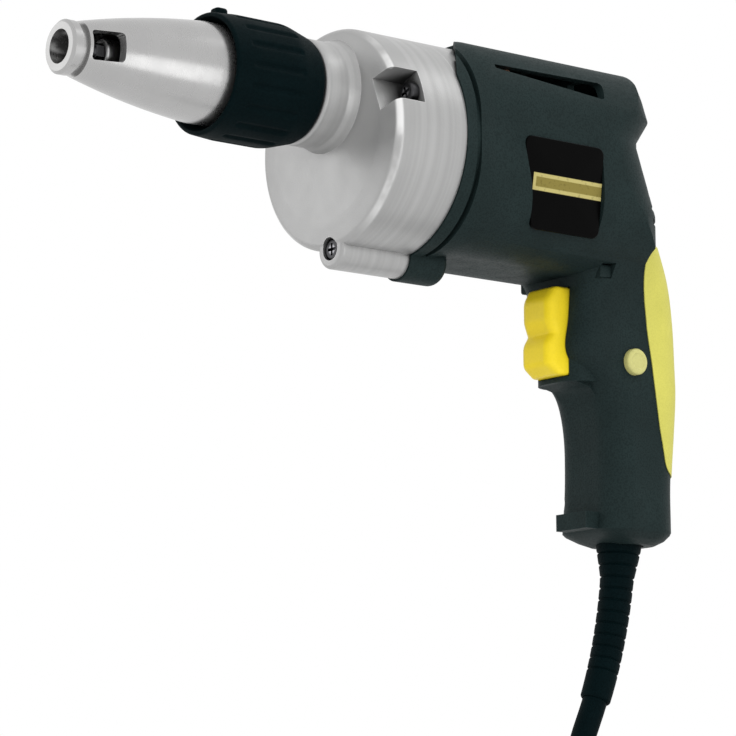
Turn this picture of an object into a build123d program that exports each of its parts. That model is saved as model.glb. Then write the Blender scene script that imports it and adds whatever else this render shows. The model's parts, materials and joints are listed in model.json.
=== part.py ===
from build123d import *
import os
from math import acos, cos, dist, pi, radians, sin, sqrt, tan

# Corded drywall screwdriver with a pistol grip, an offset spindle and a depth-setting nose.
# Millimetres. The nose points along +X, the operator's left is +Y, up is +Z.
# The origin is the middle of the grip.

# Layout
MOTOR_Z = 80.0            # motor axis above the grip's middle
JOINT_X = 103.5           # plane between the gear case and the housing

# Fits
RUNNING = 0.05            # radial clearance of a running fit
SLIDING = 0.10            # radial clearance of a sliding fit
LOOSE = 0.30              # clearance between pieces that pass each other
END_GAP = 0.5             # gap along the axis between pieces that turn
EPS = 1.0                 # overlap of a cutting tool past a face

# Gear train
GEAR_MODULE = 0.6
PINION_TEETH = 8
GEAR_TEETH = 41
TOOTH_SHIFT = 0.45        # profile shift, plus on the pinion and minus on the gear
TOOTH_TIP = 0.85          # addendum in modules
TOOTH_ROOT = 1.15         # dedendum in modules
PRESSURE_ANGLE = 20.0
BACKLASH = 0.12
GEAR_WIDTH = 8.0
CENTRE = GEAR_MODULE * (PINION_TEETH + GEAR_TEETH) / 2
SPINDLE_Z = MOTOR_Z + CENTRE

# Gear case
CASE_R = 38.7
CASE_LEN = 31.0
CASE_EDGE = 3.0           # rounding of the front edge
CASE_DISH = 1.6           # how far the face falls back at its rim
CASE_FLAT_R = 29.0        # flat middle of the face
CASE_CAVITY_R = 28.0
CASE_FRONT_WALL = 6.5
NECK_R = 18.5
NECK_ROOT_R = 22.0
NECK_ROOT_LEN = 4.0
NECK_LEN = 13.5           # from the face to the collar's shoulder
NECK_ROUND = 1.5
NECK_FLARE_R = 4.0
STUB_R = 13.0             # guide that carries the collar and the nose
STUB_LEN = 32.0
STUB_ROUND = 1.0
FACE_X = JOINT_X + CASE_LEN
NECK_X = FACE_X + NECK_LEN
STUB_X = NECK_X + STUB_LEN

# Gear case screws
CASE_SCREW_R = 2.0
CASE_HEAD_R = 3.7
CASE_HEAD_LEN = 3.2
SIDE_SCREW_ANGLE = 70.0   # from the top, on both sides
SIDE_SCREW_RADIUS = CASE_R - 5.2
SIDE_SEAT_DEPTH = 13.0    # pocket depth behind the face
POCKET_WIDTH = 12.5
POCKET_FLOOR_R = CASE_R - 9.2
LOW_SCREW_RADIUS = 38.5
LOW_BOSS_R = 6.9
LOW_SEAT_DEPTH = 5.5
CASE_SCREW_BITE = 11.0    # how far the screws go into the housing

# Bearing plate
PLATE_R = 29.5
PLATE_STOP = 2.0          # how far the housing's stop reaches in behind the plate
PLATE_IN = 3.0            # part of its thickness inside the gear case
PLATE_OUT = 3.0           # part behind the joint
TONGUE_LEN = 17.5         # top tongue that shows behind the gear case
TONGUE_FRONT_HALF = 33.5
TONGUE_REAR_HALF = 10.0
TONGUE_T = 2.4
TONGUE_FOOT = 14.0        # lowest height of the tongue's sides above the motor axis
GEAR_HUB_R = 5.0
GEAR_BUSH_R = 7.0

# Motor
SHAFT_R = 4.0
BEARING_R = 11.0          # front bearing, 8 x 22 x 7
BEARING_W = 7.0
BEARING_RING = 2.4        # radial thickness of a race
REAR_SHAFT_R = 3.0
REAR_BEARING_R = 9.5      # rear bearing, 6 x 19 x 6
REAR_BEARING_W = 6.0
REAR_BEARING_X = 13.0
BOOT_T = 2.0
FAN_X = 78.5
FAN_W = 10.5
FAN_R = 27.0
FAN_DISC = 2.0
FAN_BLADES = 12
FAN_BLADE_T = 1.4
FAN_HUB_R = 7.0
FAN_BLADE_IN_R = 10.0
CORE_X = 38.0
CORE_LEN = 34.0
CORE_R = 16.3
CORE_SLOTS = 12
CORE_SLOT_W = 2.6
CORE_SLOT_DEPTH = 6.0
HEAD_LEN = 5.5            # winding heads past the core
HEAD_R = 14.5
HEAD_IN_R = 6.0
HEAD_ROUND = 0.4          # corner radius of the winding heads as a share of their length
COMMUTATOR_X = 20.5
COMMUTATOR_LEN = 11.5
COMMUTATOR_R = 10.5
COMMUTATOR_BARS = 16
BAR_GAP = 0.5
BAR_GAP_DEPTH = 0.8
AIR_GAP = 0.6
FIELD_R = 29.0
FIELD_SLOT_R = 24.0       # outer radius of the coil slots
POLE_HALF = 34.0          # half angle of a pole, degrees
SLOT_HALF = 62.0          # half angle to the far side of a coil slot
COIL_HEAD = 6.0           # coil past the stack at each end
COIL_CLEAR = 2.0          # degrees between a coil and the sides of its slots
BAFFLE_T = 2.0
BRUSH_X = 27.0
BRUSH_LEN = 13.0
BRUSH_W = 6.4
BRUSH_H = 5.0
HOLDER_WALL = 1.2
BOX_WALL = 2.0            # walls of the housing round holders and screws
BOX_GRIP = 10.0           # length of a brush holder outside its box
BRUSH_CAP = 4.3           # wall thickened outside a brush holder
HOLDER_Y0 = 12.5

# Spindle and clutch
SPINDLE_R = 6.0
JOURNAL_R = 4.0           # rear journal inside the gear
FLANGE_R = 10.0
FLANGE_T = 3.0
JAW_IN = 5.8
JAW_OUT = 9.0
JAW_H = 2.5
JAW_SWEEP = 46.0          # degrees of each of the three jaws
WASHER_T = 1.5
BUSH_R = 9.0
BUSH_LEN = 14.0
SEAL_LEN = 4.0
HEX_AF = 6.35
SPINDLE_NOSE = 6.0        # spindle in front of the neck
SPINDLE_ROUND = 0.8
SOCKET_DEPTH = 17.0
HOLDER_R = 5.0
HOLDER_LEN = 42.0
HOLDER_RING_T = 0.6
HOLDER_RING_W = 1.4
BIT_LEN = 25.0
BIT_TIP_LEN = 7.0
BIT_TIP_R = 1.1
BIT_CONE_R = 2.9          # foot of the bit's cone
BIT_SEAT = 15.0           # bit inside its holder
BIT_FLUTE = 1.3

# Collar and nose
COLLAR_R = 21.5
COLLAR_LEN = 38.4
COLLAR_FRONT_R = 20.8
COLLAR_FRONT_LEN = 9.0    # length over which the front tapers
COLLAR_REAR_R = 18.4
COLLAR_REAR_LEN = 11.0    # length over which the back tapers
COLLAR_BEND_R = 14.0      # bends between the tapers and the barrel
COLLAR_ROUND = 2.0
COLLAR_MOUTH_R = 19.4     # flared mouth round the nose
COLLAR_MOUTH_LEN = 4.0
COLLAR_WEB = 7.0
COLLAR_BORE = 17.6
COLLAR_FLUTES = 18
FLUTE_R = 1.7
FLUTE_DEPTH = 0.8
FLUTE_LEN = 24.0
NUB_H = 2.2
NUB_LEN = 5.0
NUB_SET = 4.4             # from the collar's front to the nub
NUB_HALF = 2.2
CLIP_T = 1.5
CLIP_R = 15.5
CLIP_GROOVE = 0.8
RING_T = 2.0              # collar's drag ring
RING_GROOVE = 1.0
NOSE_R = 17.3
NOSE_REAR_GAP = 5.0       # between the retaining clip and the nose sleeve
NOSE_BAND = 3.0           # straight band in front of the collar
NOSE_TIP_X = 243.5
NOSE_RING_R = 9.1
NOSE_RING_LEN = 3.6
NOSE_NECK_R = 7.9
NOSE_NECK_LEN = 2.6
NOSE_MOUTH_R = 5.75
NOSE_SHOULDER_R = 9.3     # cone where it meets the neck
NOSE_BULGE = 1.0          # how far the cone bows out at mid length
NOSE_WALL = 2.6
WINDOW_LEN = 11.0
WINDOW_HALF = 5.0
KEY_HALF = 1.2
KEY_LEN = 12.0
KEY_H = 0.9

# Housing
WALL = 3.0
BARREL_HALF = 37.5
BARREL_TOP = 39.0
BARREL_BOTTOM = 37.0
BARREL_R_TOP = 27.0
BARREL_R_BOTTOM = 26.0
ROUND_LEN = 14.0          # length over which the barrel turns round to meet the gear case
ROUND_HALF = 39.2         # the round front's half width
LIP_GROOVE_W = 2.2
LIP_GROOVE_DEPTH = 1.2
LIP_W = 4.5
REAR_LOW_X = -0.4         # rear face low down
REAR_NOTCH_X = 8.2        # rear face under the top cap
# Rear face from low to high: height, X
REAR_PROFILE = ((64.0, REAR_LOW_X), (88.0, REAR_NOTCH_X), (90.5, REAR_NOTCH_X), (98.6, 2.4), (105.4, 5.0),
                (112.0, 8.4), (120.0, 13.5))
REAR_ROUND = 27.5
REAR_FLARE = 0.1          # the rear plan stands this much outside the barrel's sides
REAR_WALL = 4.0
LUG_R = 7.8
LUG_LEN = 18.0
TRIGGER_HALF = 8.0
TRIGGER_LOW = 6.8
TRIGGER_HIGH = 39.0
LEDGE_FRONT = 30.5
LEDGE_HALF = 9.5
LEDGE_T = 1.7             # thickness of the ledge at its lip
LEDGE_ROUND = 0.8
SHOULDER_HALF = 12.5      # shoulder beside the foot of the trigger
SHOULDER_ROUND = 8.0
LEDGE_UNDERSIDE = ((22.5, 3.2, 5.0), (16.0, -5.0))
TAB_FRONT = 24.2
TAB_HALF = 8.0
TAB_H = 6.0
BASE_Z = -47.5
# Bottom bulge from its edge down: front set back, inset, drop
BASE_RINGS = ((0.0, 0.0, 0.0), (0.8, 0.5, 1.0), (4.0, 2.6, 3.0), (6.0, 6.0, 4.6))
FLOOR_T = 3.5
STRAP_T = 2.2
STRAP_PROUD = 0.4
PANEL_T = 1.4
PANEL_TILT = 10.0
PANEL_BACK = 3.0          # wall behind the panel
VENT_H = 2.2
VENT_PITCH = 5.2
VENT_COUNT = 4
VENT_TOP_Z = 77.0
VENT_IN_Y = 17.0
RIB_T = 3.0
RIB_OPEN = 13.0           # half width of the gaps between the ribs

# Handle sections from the foot up: height, front, back, half width, front and back corner radius
HANDLE_SECTIONS = (
    (BASE_Z, 18.6, -16.4, 17.2, 10.0, 13.5),
    (-30.0, 17.4, -17.2, 16.8, 10.0, 14.0),
    (-10.0, 17.8, -19.4, 16.8, 10.0, 14.5),
    (3.0, 21.6, -20.3, 17.0, 10.0, 14.5),
    (14.0, 32.3, -19.9, 17.2, 10.0, 14.5),
    (30.0, 31.0, -18.0, 18.4, 10.0, 14.5),
    (44.0, 31.0, -14.0, 23.5, 11.0, 20.0),
    (58.0, 38.0, -1.5, 33.0, 14.0, 24.0),
    (72.0, 46.0, 6.0, 36.0, 14.0, 24.0),
)
HANDLE_STEPS = 21         # evenly spaced sections of the loft
SPLIT_PAST = 6.0          # how far a half section runs past the middle plane before it is cut
REACH = 400.0             # larger than the tool

# Switch, trigger, buttons
TRIGGER_FRONT = 40.7
TRIGGER_TRAVEL = 6.5
TRIGGER_REAR = 26.5
TRIGGER_ROUND = 3.5       # front corners in plan
TRIGGER_POCKET_R = 5.5    # pocket for the return spring
TRIGGER_POCKET_LEN = 8.0
TRIGGER_SPRING_R = 3.7
TRIGGER_BACK_GAP = 1.0    # between the pulled trigger and the switch
# Trigger front from the bottom up: distance behind the front, height, corner radius
TRIGGER_PROFILE = ((5.0, TRIGGER_LOW, 3.0), (0.0, TRIGGER_LOW + 3.5, 3.0), (0.0, 18.0, 6.0), (2.6, 21.8, 2.0),
                   (0.6, 26.5, 6.0), (0.6, TRIGGER_HIGH - 5.0, 6.0), (3.6, TRIGGER_HIGH, 2.5))
SWITCH_FRONT = TRIGGER_REAR - TRIGGER_TRAVEL - TRIGGER_BACK_GAP
SWITCH_REAR = -4.5
SWITCH_HALF = 8.0
SWITCH_LOW = 9.0
SWITCH_HIGH = 37.0
SWITCH_ROUND = 1.0
SWITCH_RIB_LOW = 19.0
SWITCH_RIB_HIGH = 35.0
PLUNGER_R = 2.5
PLUNGER_DEPTH = 6.0       # plunger inside the switch
PLUNGER_GRIP = 10.0       # plunger inside the trigger
LOCK_X = 8.0
LOCK_Z = 12.6
LOCK_R = 4.8
LOCK_FLANGE = 1.2
LOCK_FLANGE_T = 1.6
LOCK_GAP = 0.2            # between the flange and the housing wall
LOCK_PROUD = 2.6
LOCK_ROUND = 1.4
LOCK_SEAT_R = 3.6
LOCK_SEAT_DEPTH = 4.0
LOCK_SPRING_R = 2.4
LOCK_SPRING_Z = 13.4
REVERSE_X = 25.0
REVERSE_Z = 43.5
REVERSE_W = 5.0
REVERSE_REACH = 21.6
REVERSE_ROUND = 1.2
REVERSE_NOTCH = 2.0
SPRING_WIRE = 0.7

# Housing screws: places as (x, z), seat depth in the right half, bite in the left half
SCREW_R = 1.5
SCREW_HEAD_R = 3.0
SCREW_HEAD_LEN = 2.2
BOSS_R = 3.8
BARREL_SEAT = 24.0
GRIP_SEAT = 9.0
BARREL_BITE = 14.0
GRIP_BITE = 9.0
BARREL_SCREWS = ((27.0, 111.0), (82.0, 111.0), (82.0, 48.0), (33.0, 49.0))
GRIP_SCREWS = ((11.4, -17.5), (13.0, -36.8))

# Cord and its guard
CORD_R = 4.5
GUARD_FLANGE_R = 10.2
GUARD_FLANGE_T = 3.0
GUARD_HEAD_R = 8.3
GUARD_MID_R = 6.1
GUARD_END_R = 5.5
GUARD_HEAD_DROP = 8.5     # straight head below the flange
GUARD_MID_RUN = 20.0      # along the cord, from the flange to where the fast taper ends
GUARD_RUN = 66.0          # along the cord, from the flange to the guard's end
CLAMP_Z = -29.8
CLAMP_H = 6.0
CLAMP_HALF = 12.5
CLAMP_SCREW_X = 9.0
CLAMP_T = 3.0             # clamp past the cord
CLAMP_BITE = 8.0
LEAD_R = 1.2

# Route of the cord from inside the handle to the coil, chosen by eye: x, z
CORD_ROUTE = ((0.0, -18.5), (0.4, -46.0), (3.4, -74.0), (11.4, -103.0), (24.5, -130.0),
              (29.4, -165.0), (29.4, -200.0))

# Coil of the put-away length
COIL_GAP = 0.7            # between neighbouring turns
COIL_TURNS_IN = 2.75      # turns from the outside to the inside
COIL_OUTER = 65.0         # centre line of the outer turn
CORD_SIDES = 6
TIE_W = 9.0
TIE_T = 1.4
TAIL_LEN = 55.0
PLUG_LEN = 38.0
# Plug sections from the cord down: depth, width, thickness, corner radius
PLUG_SECTIONS = ((0.0, 14.0, 13.0, 5.5), (12.0, 17.0, 15.0, 5.5), (24.0, 35.0, 25.0, 10.0),
                 (PLUG_LEN, 35.0, 25.0, 10.0))
PIN_R = 2.4
PIN_ROUND = 1.2
PIN_LEN = 19.0
PIN_SPACING = 19.0

NODES = {}


def along_x(radius, x0, x1, z, y=0.0):
    """Round bar along X."""
    bar = Cylinder(radius, x1 - x0, align=(Align.CENTER, Align.CENTER, Align.MIN))
    return Location((x0, y, z), (0, 90, 0)) * bar


def along_y(radius, y0, y1, x, z):
    """Round bar along Y."""
    bar = Cylinder(radius, y1 - y0, align=(Align.CENTER, Align.CENTER, Align.MIN))
    return Location((x, y0, z), (-90, 0, 0)) * bar


def along_z(radius, z0, z1, x, y=0.0):
    """Round bar along Z."""
    bar = Cylinder(radius, z1 - z0, align=(Align.CENTER, Align.CENTER, Align.MIN))
    return Pos(x, y, z0) * bar


def ring_x(outer, inner, x0, x1, z):
    """Plain ring about an axis along X."""
    return along_x(outer, x0, x1, z) - along_x(inner, x0 - EPS, x1 + EPS, z)


def block(x0, x1, y0, y1, z0, z1):
    """Box between two corners."""
    return Pos((x0 + x1) / 2, (y0 + y1) / 2, (z0 + z1) / 2) * Box(x1 - x0, y1 - y0, z1 - z0)


def outline_xz(points):
    """Face in the XZ plane from (x, z) or (x, z, corner radius) points."""
    corners = [(p[0], 0.0, p[1]) for p in points]
    radii = [p[2] if len(p) > 2 else 0.0 for p in points]
    return make_face(FilletPolyline(*corners, radius=radii, close=True))


def turned(points, z):
    """Solid turned about an axis along X at height z, from (x, radius[, corner radius]) points."""
    profile = outline_xz([(p[0], z + p[1], *p[2:]) for p in points])
    return revolve(profile, Axis((0, 0, z), (1, 0, 0)))


def prism_y(points, y0, y1):
    """Outline in the XZ plane, carried along Y from y0 to y1."""
    return extrude(Pos(0, y0, 0) * outline_xz(points), amount=y1 - y0, dir=(0, 1, 0))


def hex_x(across, x0, x1, z):
    """Hexagonal bar along X."""
    face = RegularPolygon(across / 2, 6, major_radius=False)
    return Location((x0, 0, z), (0, 90, 0)) * extrude(face, amount=x1 - x0)


def mirrored(shape):
    """The same piece on the other side of the tool."""
    return mirror(shape, about=Plane.XZ)


def both_sides(shape):
    """A piece and its mirror image, as separate solids."""
    return [shape, mirrored(shape)]


def turned_about_motor(shape, angle):
    """Turn a piece about the motor axis, from the top towards the left by an angle in degrees."""
    return shape.rotate(Axis((0, 0, MOTOR_Z), (1, 0, 0)), -angle)


def involute(angle):
    """Involute function of a pressure angle in radians."""
    return tan(angle) - angle


def tooth_radii(teeth, shift):
    """Pitch, base, tip and root radius of a gear."""
    pitch = GEAR_MODULE * teeth / 2
    base = pitch * cos(radians(PRESSURE_ANGLE))
    tip = pitch + GEAR_MODULE * (TOOTH_TIP + shift)
    root = pitch - GEAR_MODULE * (TOOTH_ROOT - shift)
    return pitch, base, tip, root


def gear_outline(teeth, shift, first):
    """Points of a toothed outline round the origin; a tooth stands at the angle first, in degrees."""
    pitch, base, tip, root = tooth_radii(teeth, shift)
    pressure = radians(PRESSURE_ANGLE)
    half = pi / (2 * teeth) + 2 * shift * tan(pressure) / teeth - BACKLASH / (2 * pitch)

    def half_angle(radius):
        """Half the angle that a tooth covers at a radius."""
        safe = max(radius, base)
        return half + involute(pressure) - involute(acos(base / safe))

    foot = max(root, base)
    flank = [root, foot + 0.35 * (tip - foot), tip]
    points = []
    for tooth in range(teeth):
        middle = radians(first) + 2 * pi * tooth / teeth
        rising = [(r, middle - half_angle(r)) for r in flank]
        falling = [(r, middle + half_angle(r)) for r in reversed(flank)]
        points += [(r * cos(a), r * sin(a)) for r, a in rising + falling]
    return points


def gear_x(teeth, shift, first, x0, x1, z):
    """Toothed wheel along X; the angle first is measured from +Y towards +Z."""
    points = [(x0, y, z + h) for y, h in gear_outline(teeth, shift, first)]
    return extrude(make_face(Polyline(*points, close=True)), amount=x1 - x0, dir=(1, 0, 0))


def sector_x(outer, inner, x0, x1, z, middle, half):
    """Ring sector about an axis along X; the middle angle runs from +Y towards +Z, in degrees."""
    reach = 2 * outer
    low, high = radians(middle - half), radians(middle + half)
    corners = [(0, 0), (reach * cos(low), reach * sin(low)),
               (reach * cos(radians(middle)), reach * sin(radians(middle))),
               (reach * cos(high), reach * sin(high))]
    wedge = make_face(Polyline(*[(x0, y, z + h) for y, h in corners], close=True))
    return ring_x(outer, inner, x0, x1, z) & extrude(wedge, amount=x1 - x0, dir=(1, 0, 0))


def spring(start, direction, radius, length, turns):
    """Wound spring of square wire from a start point along a direction."""
    coil = Helix(length / turns, length, radius, center=start, direction=direction)
    wire = Plane(coil @ 0, z_dir=coil % 0) * Rectangle(SPRING_WIRE, SPRING_WIRE)
    return sweep(wire, path=coil, is_frenet=True)


# Gear case and what it carries
PLATE_FRONT = JOINT_X + PLATE_IN
PLATE_REAR = JOINT_X - PLATE_OUT
GEAR_X0 = PLATE_FRONT + EPS
GEAR_X1 = GEAR_X0 + GEAR_WIDTH
CAVITY_FRONT = FACE_X - CASE_FRONT_WALL
FLANGE_FRONT = CAVITY_FRONT - WASHER_T
FLANGE_REAR = FLANGE_FRONT - FLANGE_T
SPINDLE_FRONT = STUB_X + SPINDLE_NOSE
SIDE_SEAT_X = FACE_X - SIDE_SEAT_DEPTH
LOW_SEAT_X = FACE_X - LOW_SEAT_DEPTH
LOW_BOSS_FRONT = FACE_X - CASE_DISH
SIDE_ANGLES = (SIDE_SCREW_ANGLE, -SIDE_SCREW_ANGLE)
CLIP_X = NECK_X + LOOSE + COLLAR_WEB + LOOSE
DRAG_X = NECK_X + LOOSE + COLLAR_WEB / 2


def make_gear_case():
    """Die-cast case: dished face, neck and guide stub for the spindle, pockets for the side screws."""
    rim = CASE_R - CASE_EDGE
    shell = turned([(JOINT_X, 0), (FACE_X, 0), (FACE_X, CASE_FLAT_R, CASE_EDGE),
                    (FACE_X - CASE_DISH, rim + CASE_EDGE, CASE_EDGE), (JOINT_X, CASE_R)], MOTOR_Z)
    neck = turned([(FACE_X - CASE_FRONT_WALL, 0), (STUB_X, 0), (STUB_X, STUB_R, STUB_ROUND), (NECK_X, STUB_R),
                   (NECK_X, NECK_R, NECK_ROUND), (FACE_X + NECK_ROOT_LEN, NECK_R, NECK_FLARE_R),
                   (FACE_X - CASE_FRONT_WALL, NECK_ROOT_R)], SPINDLE_Z)
    boss = along_x(LOW_BOSS_R, JOINT_X, LOW_BOSS_FRONT, MOTOR_Z - LOW_SCREW_RADIUS)
    boss = fillet(boss.edges().sort_by(Axis.X)[-1], CASE_EDGE / 2)
    case = shell + neck + boss
    cuts = [along_x(CASE_CAVITY_R, JOINT_X - EPS, CAVITY_FRONT, MOTOR_Z),
            along_x(PLATE_R + SLIDING, JOINT_X - EPS, PLATE_FRONT, MOTOR_Z),
            along_x(BUSH_R, CAVITY_FRONT - EPS, CAVITY_FRONT + BUSH_LEN, SPINDLE_Z),
            along_x(SPINDLE_R + LOOSE, CAVITY_FRONT, STUB_X, SPINDLE_Z),
            along_x(BUSH_R, STUB_X - SEAL_LEN - EPS - BUSH_LEN, STUB_X + EPS, SPINDLE_Z),
            ring_x(STUB_R + EPS, STUB_R - CLIP_GROOVE, CLIP_X, CLIP_X + CLIP_T + SLIDING, SPINDLE_Z),
            ring_x(STUB_R + EPS, STUB_R - RING_GROOVE, DRAG_X, DRAG_X + RING_T + SLIDING, SPINDLE_Z),
            along_x(CASE_SCREW_R + SLIDING, JOINT_X - EPS, FACE_X, MOTOR_Z - LOW_SCREW_RADIUS),
            along_x(CASE_HEAD_R + LOOSE, LOW_SEAT_X, FACE_X + EPS, MOTOR_Z - LOW_SCREW_RADIUS)]
    pocket = block(SIDE_SEAT_X, FACE_X + EPS, -POCKET_WIDTH / 2, POCKET_WIDTH / 2,
                   MOTOR_Z + POCKET_FLOOR_R, MOTOR_Z + CASE_R + EPS)
    hole = along_x(CASE_SCREW_R + SLIDING, JOINT_X - EPS, SIDE_SEAT_X + EPS, MOTOR_Z + SIDE_SCREW_RADIUS)
    for angle in SIDE_ANGLES:
        cuts += [turned_about_motor(pocket, angle), turned_about_motor(hole, angle)]
    key_low = STUB_R - KEY_H - SLIDING
    for side in (1, -1):
        z0, z1 = sorted((SPINDLE_Z + side * key_low, SPINDLE_Z + side * (STUB_R + EPS)))
        cuts.append(block(CLIP_X + CLIP_T + SLIDING, STUB_X + EPS, -KEY_HALF - SLIDING, KEY_HALF + SLIDING,
                          z0, z1))
    return case - cuts


def case_screw(seat, z):
    """Long round-headed screw along X with a cross recess, its head seated at a plane."""
    head = along_x(CASE_HEAD_R, seat, seat + CASE_HEAD_LEN, z)
    head = fillet(head.edges().sort_by(Axis.X)[-1], CASE_HEAD_LEN / 4)
    top = seat + CASE_HEAD_LEN
    slot = block(top - CASE_HEAD_LEN / 2, top + EPS, -CASE_HEAD_R * 0.6, CASE_HEAD_R * 0.6,
                 z - CASE_HEAD_R / 7, z + CASE_HEAD_R / 7)
    cross = slot.rotate(Axis((0, 0, z), (1, 0, 0)), 90)
    return head - [slot, cross] + along_x(CASE_SCREW_R, JOINT_X - CASE_SCREW_BITE, seat + EPS, z)


def tongue_prism(gap):
    """Column over the tongue's plan: wide at the gear case, narrow at the back."""
    front, rear = JOINT_X + gap, JOINT_X - TONGUE_LEN - gap
    plan = Polyline((front, -TONGUE_FRONT_HALF - gap), (front, TONGUE_FRONT_HALF + gap),
                    (rear, TONGUE_REAR_HALF + gap), (rear, -TONGUE_REAR_HALF - gap), close=True)
    return extrude(Pos(0, 0, MOTOR_Z + TONGUE_FOOT - gap) * make_face(plan), amount=CASE_R)


def make_bearing_plate():
    """Plate between gear case and motor: front bearing cup, gear bush seat and the top tongue."""
    cup_rear = PLATE_REAR - BEARING_W - EPS
    plate = along_x(PLATE_R, PLATE_REAR, PLATE_FRONT, MOTOR_Z)
    plate += along_x(BEARING_R + BEARING_RING, cup_rear, PLATE_REAR, MOTOR_Z)
    shell = ring_x(CASE_R, CASE_R - TONGUE_T, JOINT_X - TONGUE_LEN, JOINT_X, MOTOR_Z)
    web = ring_x(CASE_R, PLATE_R - EPS, PLATE_REAR, JOINT_X, MOTOR_Z)
    plate += (shell + web) & tongue_prism(0.0)
    return plate - [along_x(BEARING_R, cup_rear - EPS, PLATE_REAR - EPS, MOTOR_Z),
                    along_x(SHAFT_R + LOOSE, cup_rear, PLATE_FRONT + EPS, MOTOR_Z),
                    along_x(GEAR_BUSH_R, PLATE_REAR + END_GAP, PLATE_FRONT + EPS, SPINDLE_Z)]


def jaws(x0, x1, start):
    """Three clutch jaws round the spindle axis."""
    return [sector_x(JAW_OUT, JAW_IN, x0, x1, SPINDLE_Z, start + 120 * k, JAW_SWEEP / 2) for k in range(3)]


def make_drive_gear():
    """Gear with a rear hub, a bore for the spindle's journal and clutch jaws on its face."""
    first = -90 + 180 / GEAR_TEETH
    gear = gear_x(GEAR_TEETH, -TOOTH_SHIFT, first, GEAR_X0, GEAR_X1, SPINDLE_Z)
    gear += along_x(GEAR_HUB_R, PLATE_REAR + 3 * END_GAP, GEAR_X0 + EPS, SPINDLE_Z)
    gear += jaws(GEAR_X1 - EPS, GEAR_X1 + JAW_H, 90)
    return gear - along_x(JOURNAL_R + RUNNING, PLATE_REAR, GEAR_X1 + EPS, SPINDLE_Z)


def make_spindle():
    """Stepped spindle: rear journal, jaw flange, main journal and front hex socket."""
    spindle = along_x(JOURNAL_R, PLATE_FRONT - END_GAP, FLANGE_REAR + EPS, SPINDLE_Z)
    spindle += along_x(FLANGE_R, FLANGE_REAR, FLANGE_FRONT, SPINDLE_Z)
    spindle += turned([(FLANGE_FRONT - EPS, 0), (SPINDLE_FRONT, 0), (SPINDLE_FRONT, SPINDLE_R, SPINDLE_ROUND),
                       (FLANGE_FRONT - EPS, SPINDLE_R)], SPINDLE_Z)
    spindle += jaws(FLANGE_REAR - JAW_H, FLANGE_REAR + EPS, 30)
    return spindle - hex_x(HEX_AF, SPINDLE_FRONT - SOCKET_DEPTH, SPINDLE_FRONT + EPS, SPINDLE_Z)


HOLDER_FRONT = SPINDLE_FRONT + HOLDER_LEN
BIT_REAR = HOLDER_FRONT - BIT_SEAT
BIT_FRONT = BIT_REAR + BIT_LEN
HOLDER_RING_X = BIT_REAR + BIT_SEAT / 2


def make_bit_holder():
    """Bit holder with a hex shank, a waist and a socket for the bit."""
    holder = turned([(SPINDLE_FRONT, 0), (HOLDER_FRONT, 0), (HOLDER_FRONT, HOLDER_R, SPINDLE_ROUND),
                     (SPINDLE_FRONT, HOLDER_R, SPINDLE_ROUND)], SPINDLE_Z)
    holder += hex_x(HEX_AF - SLIDING, SPINDLE_FRONT - SOCKET_DEPTH + EPS, SPINDLE_FRONT + EPS, SPINDLE_Z)
    groove = ring_x(HOLDER_R + EPS, HOLDER_R - HOLDER_RING_T, HOLDER_RING_X, HOLDER_RING_X + HOLDER_RING_W,
                    SPINDLE_Z)
    return holder - [hex_x(HEX_AF, BIT_REAR - END_GAP, HOLDER_FRONT + EPS, SPINDLE_Z), groove]


def make_bit():
    """Cross-point bit: hex shank, cone and four flutes."""
    shank = hex_x(HEX_AF - SLIDING, BIT_REAR, BIT_FRONT - BIT_TIP_LEN, SPINDLE_Z)
    cone = turned([(BIT_FRONT - BIT_TIP_LEN - EPS, 0), (BIT_FRONT, 0), (BIT_FRONT, BIT_TIP_R),
                   (BIT_FRONT - BIT_TIP_LEN, BIT_CONE_R),
                   (BIT_FRONT - BIT_TIP_LEN - EPS, BIT_CONE_R)], SPINDLE_Z)
    bit = shank + cone
    flute = block(BIT_FRONT - BIT_TIP_LEN * 0.7, BIT_FRONT + EPS, BIT_FLUTE / 2, HEX_AF,
                  SPINDLE_Z + BIT_FLUTE / 2, SPINDLE_Z + HEX_AF)
    return bit - [flute.rotate(Axis((0, 0, SPINDLE_Z), (1, 0, 0)), 90 * k) for k in range(4)]


# Collar and nose
COLLAR_X0 = NECK_X + LOOSE
COLLAR_X1 = COLLAR_X0 + COLLAR_LEN
SLEEVE_X0 = CLIP_X + CLIP_T + NOSE_REAR_GAP
BAND_X = COLLAR_X1 + NOSE_BAND
NECKING_X1 = NOSE_TIP_X - NOSE_RING_LEN
NECKING_X0 = NECKING_X1 - NOSE_NECK_LEN


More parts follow.
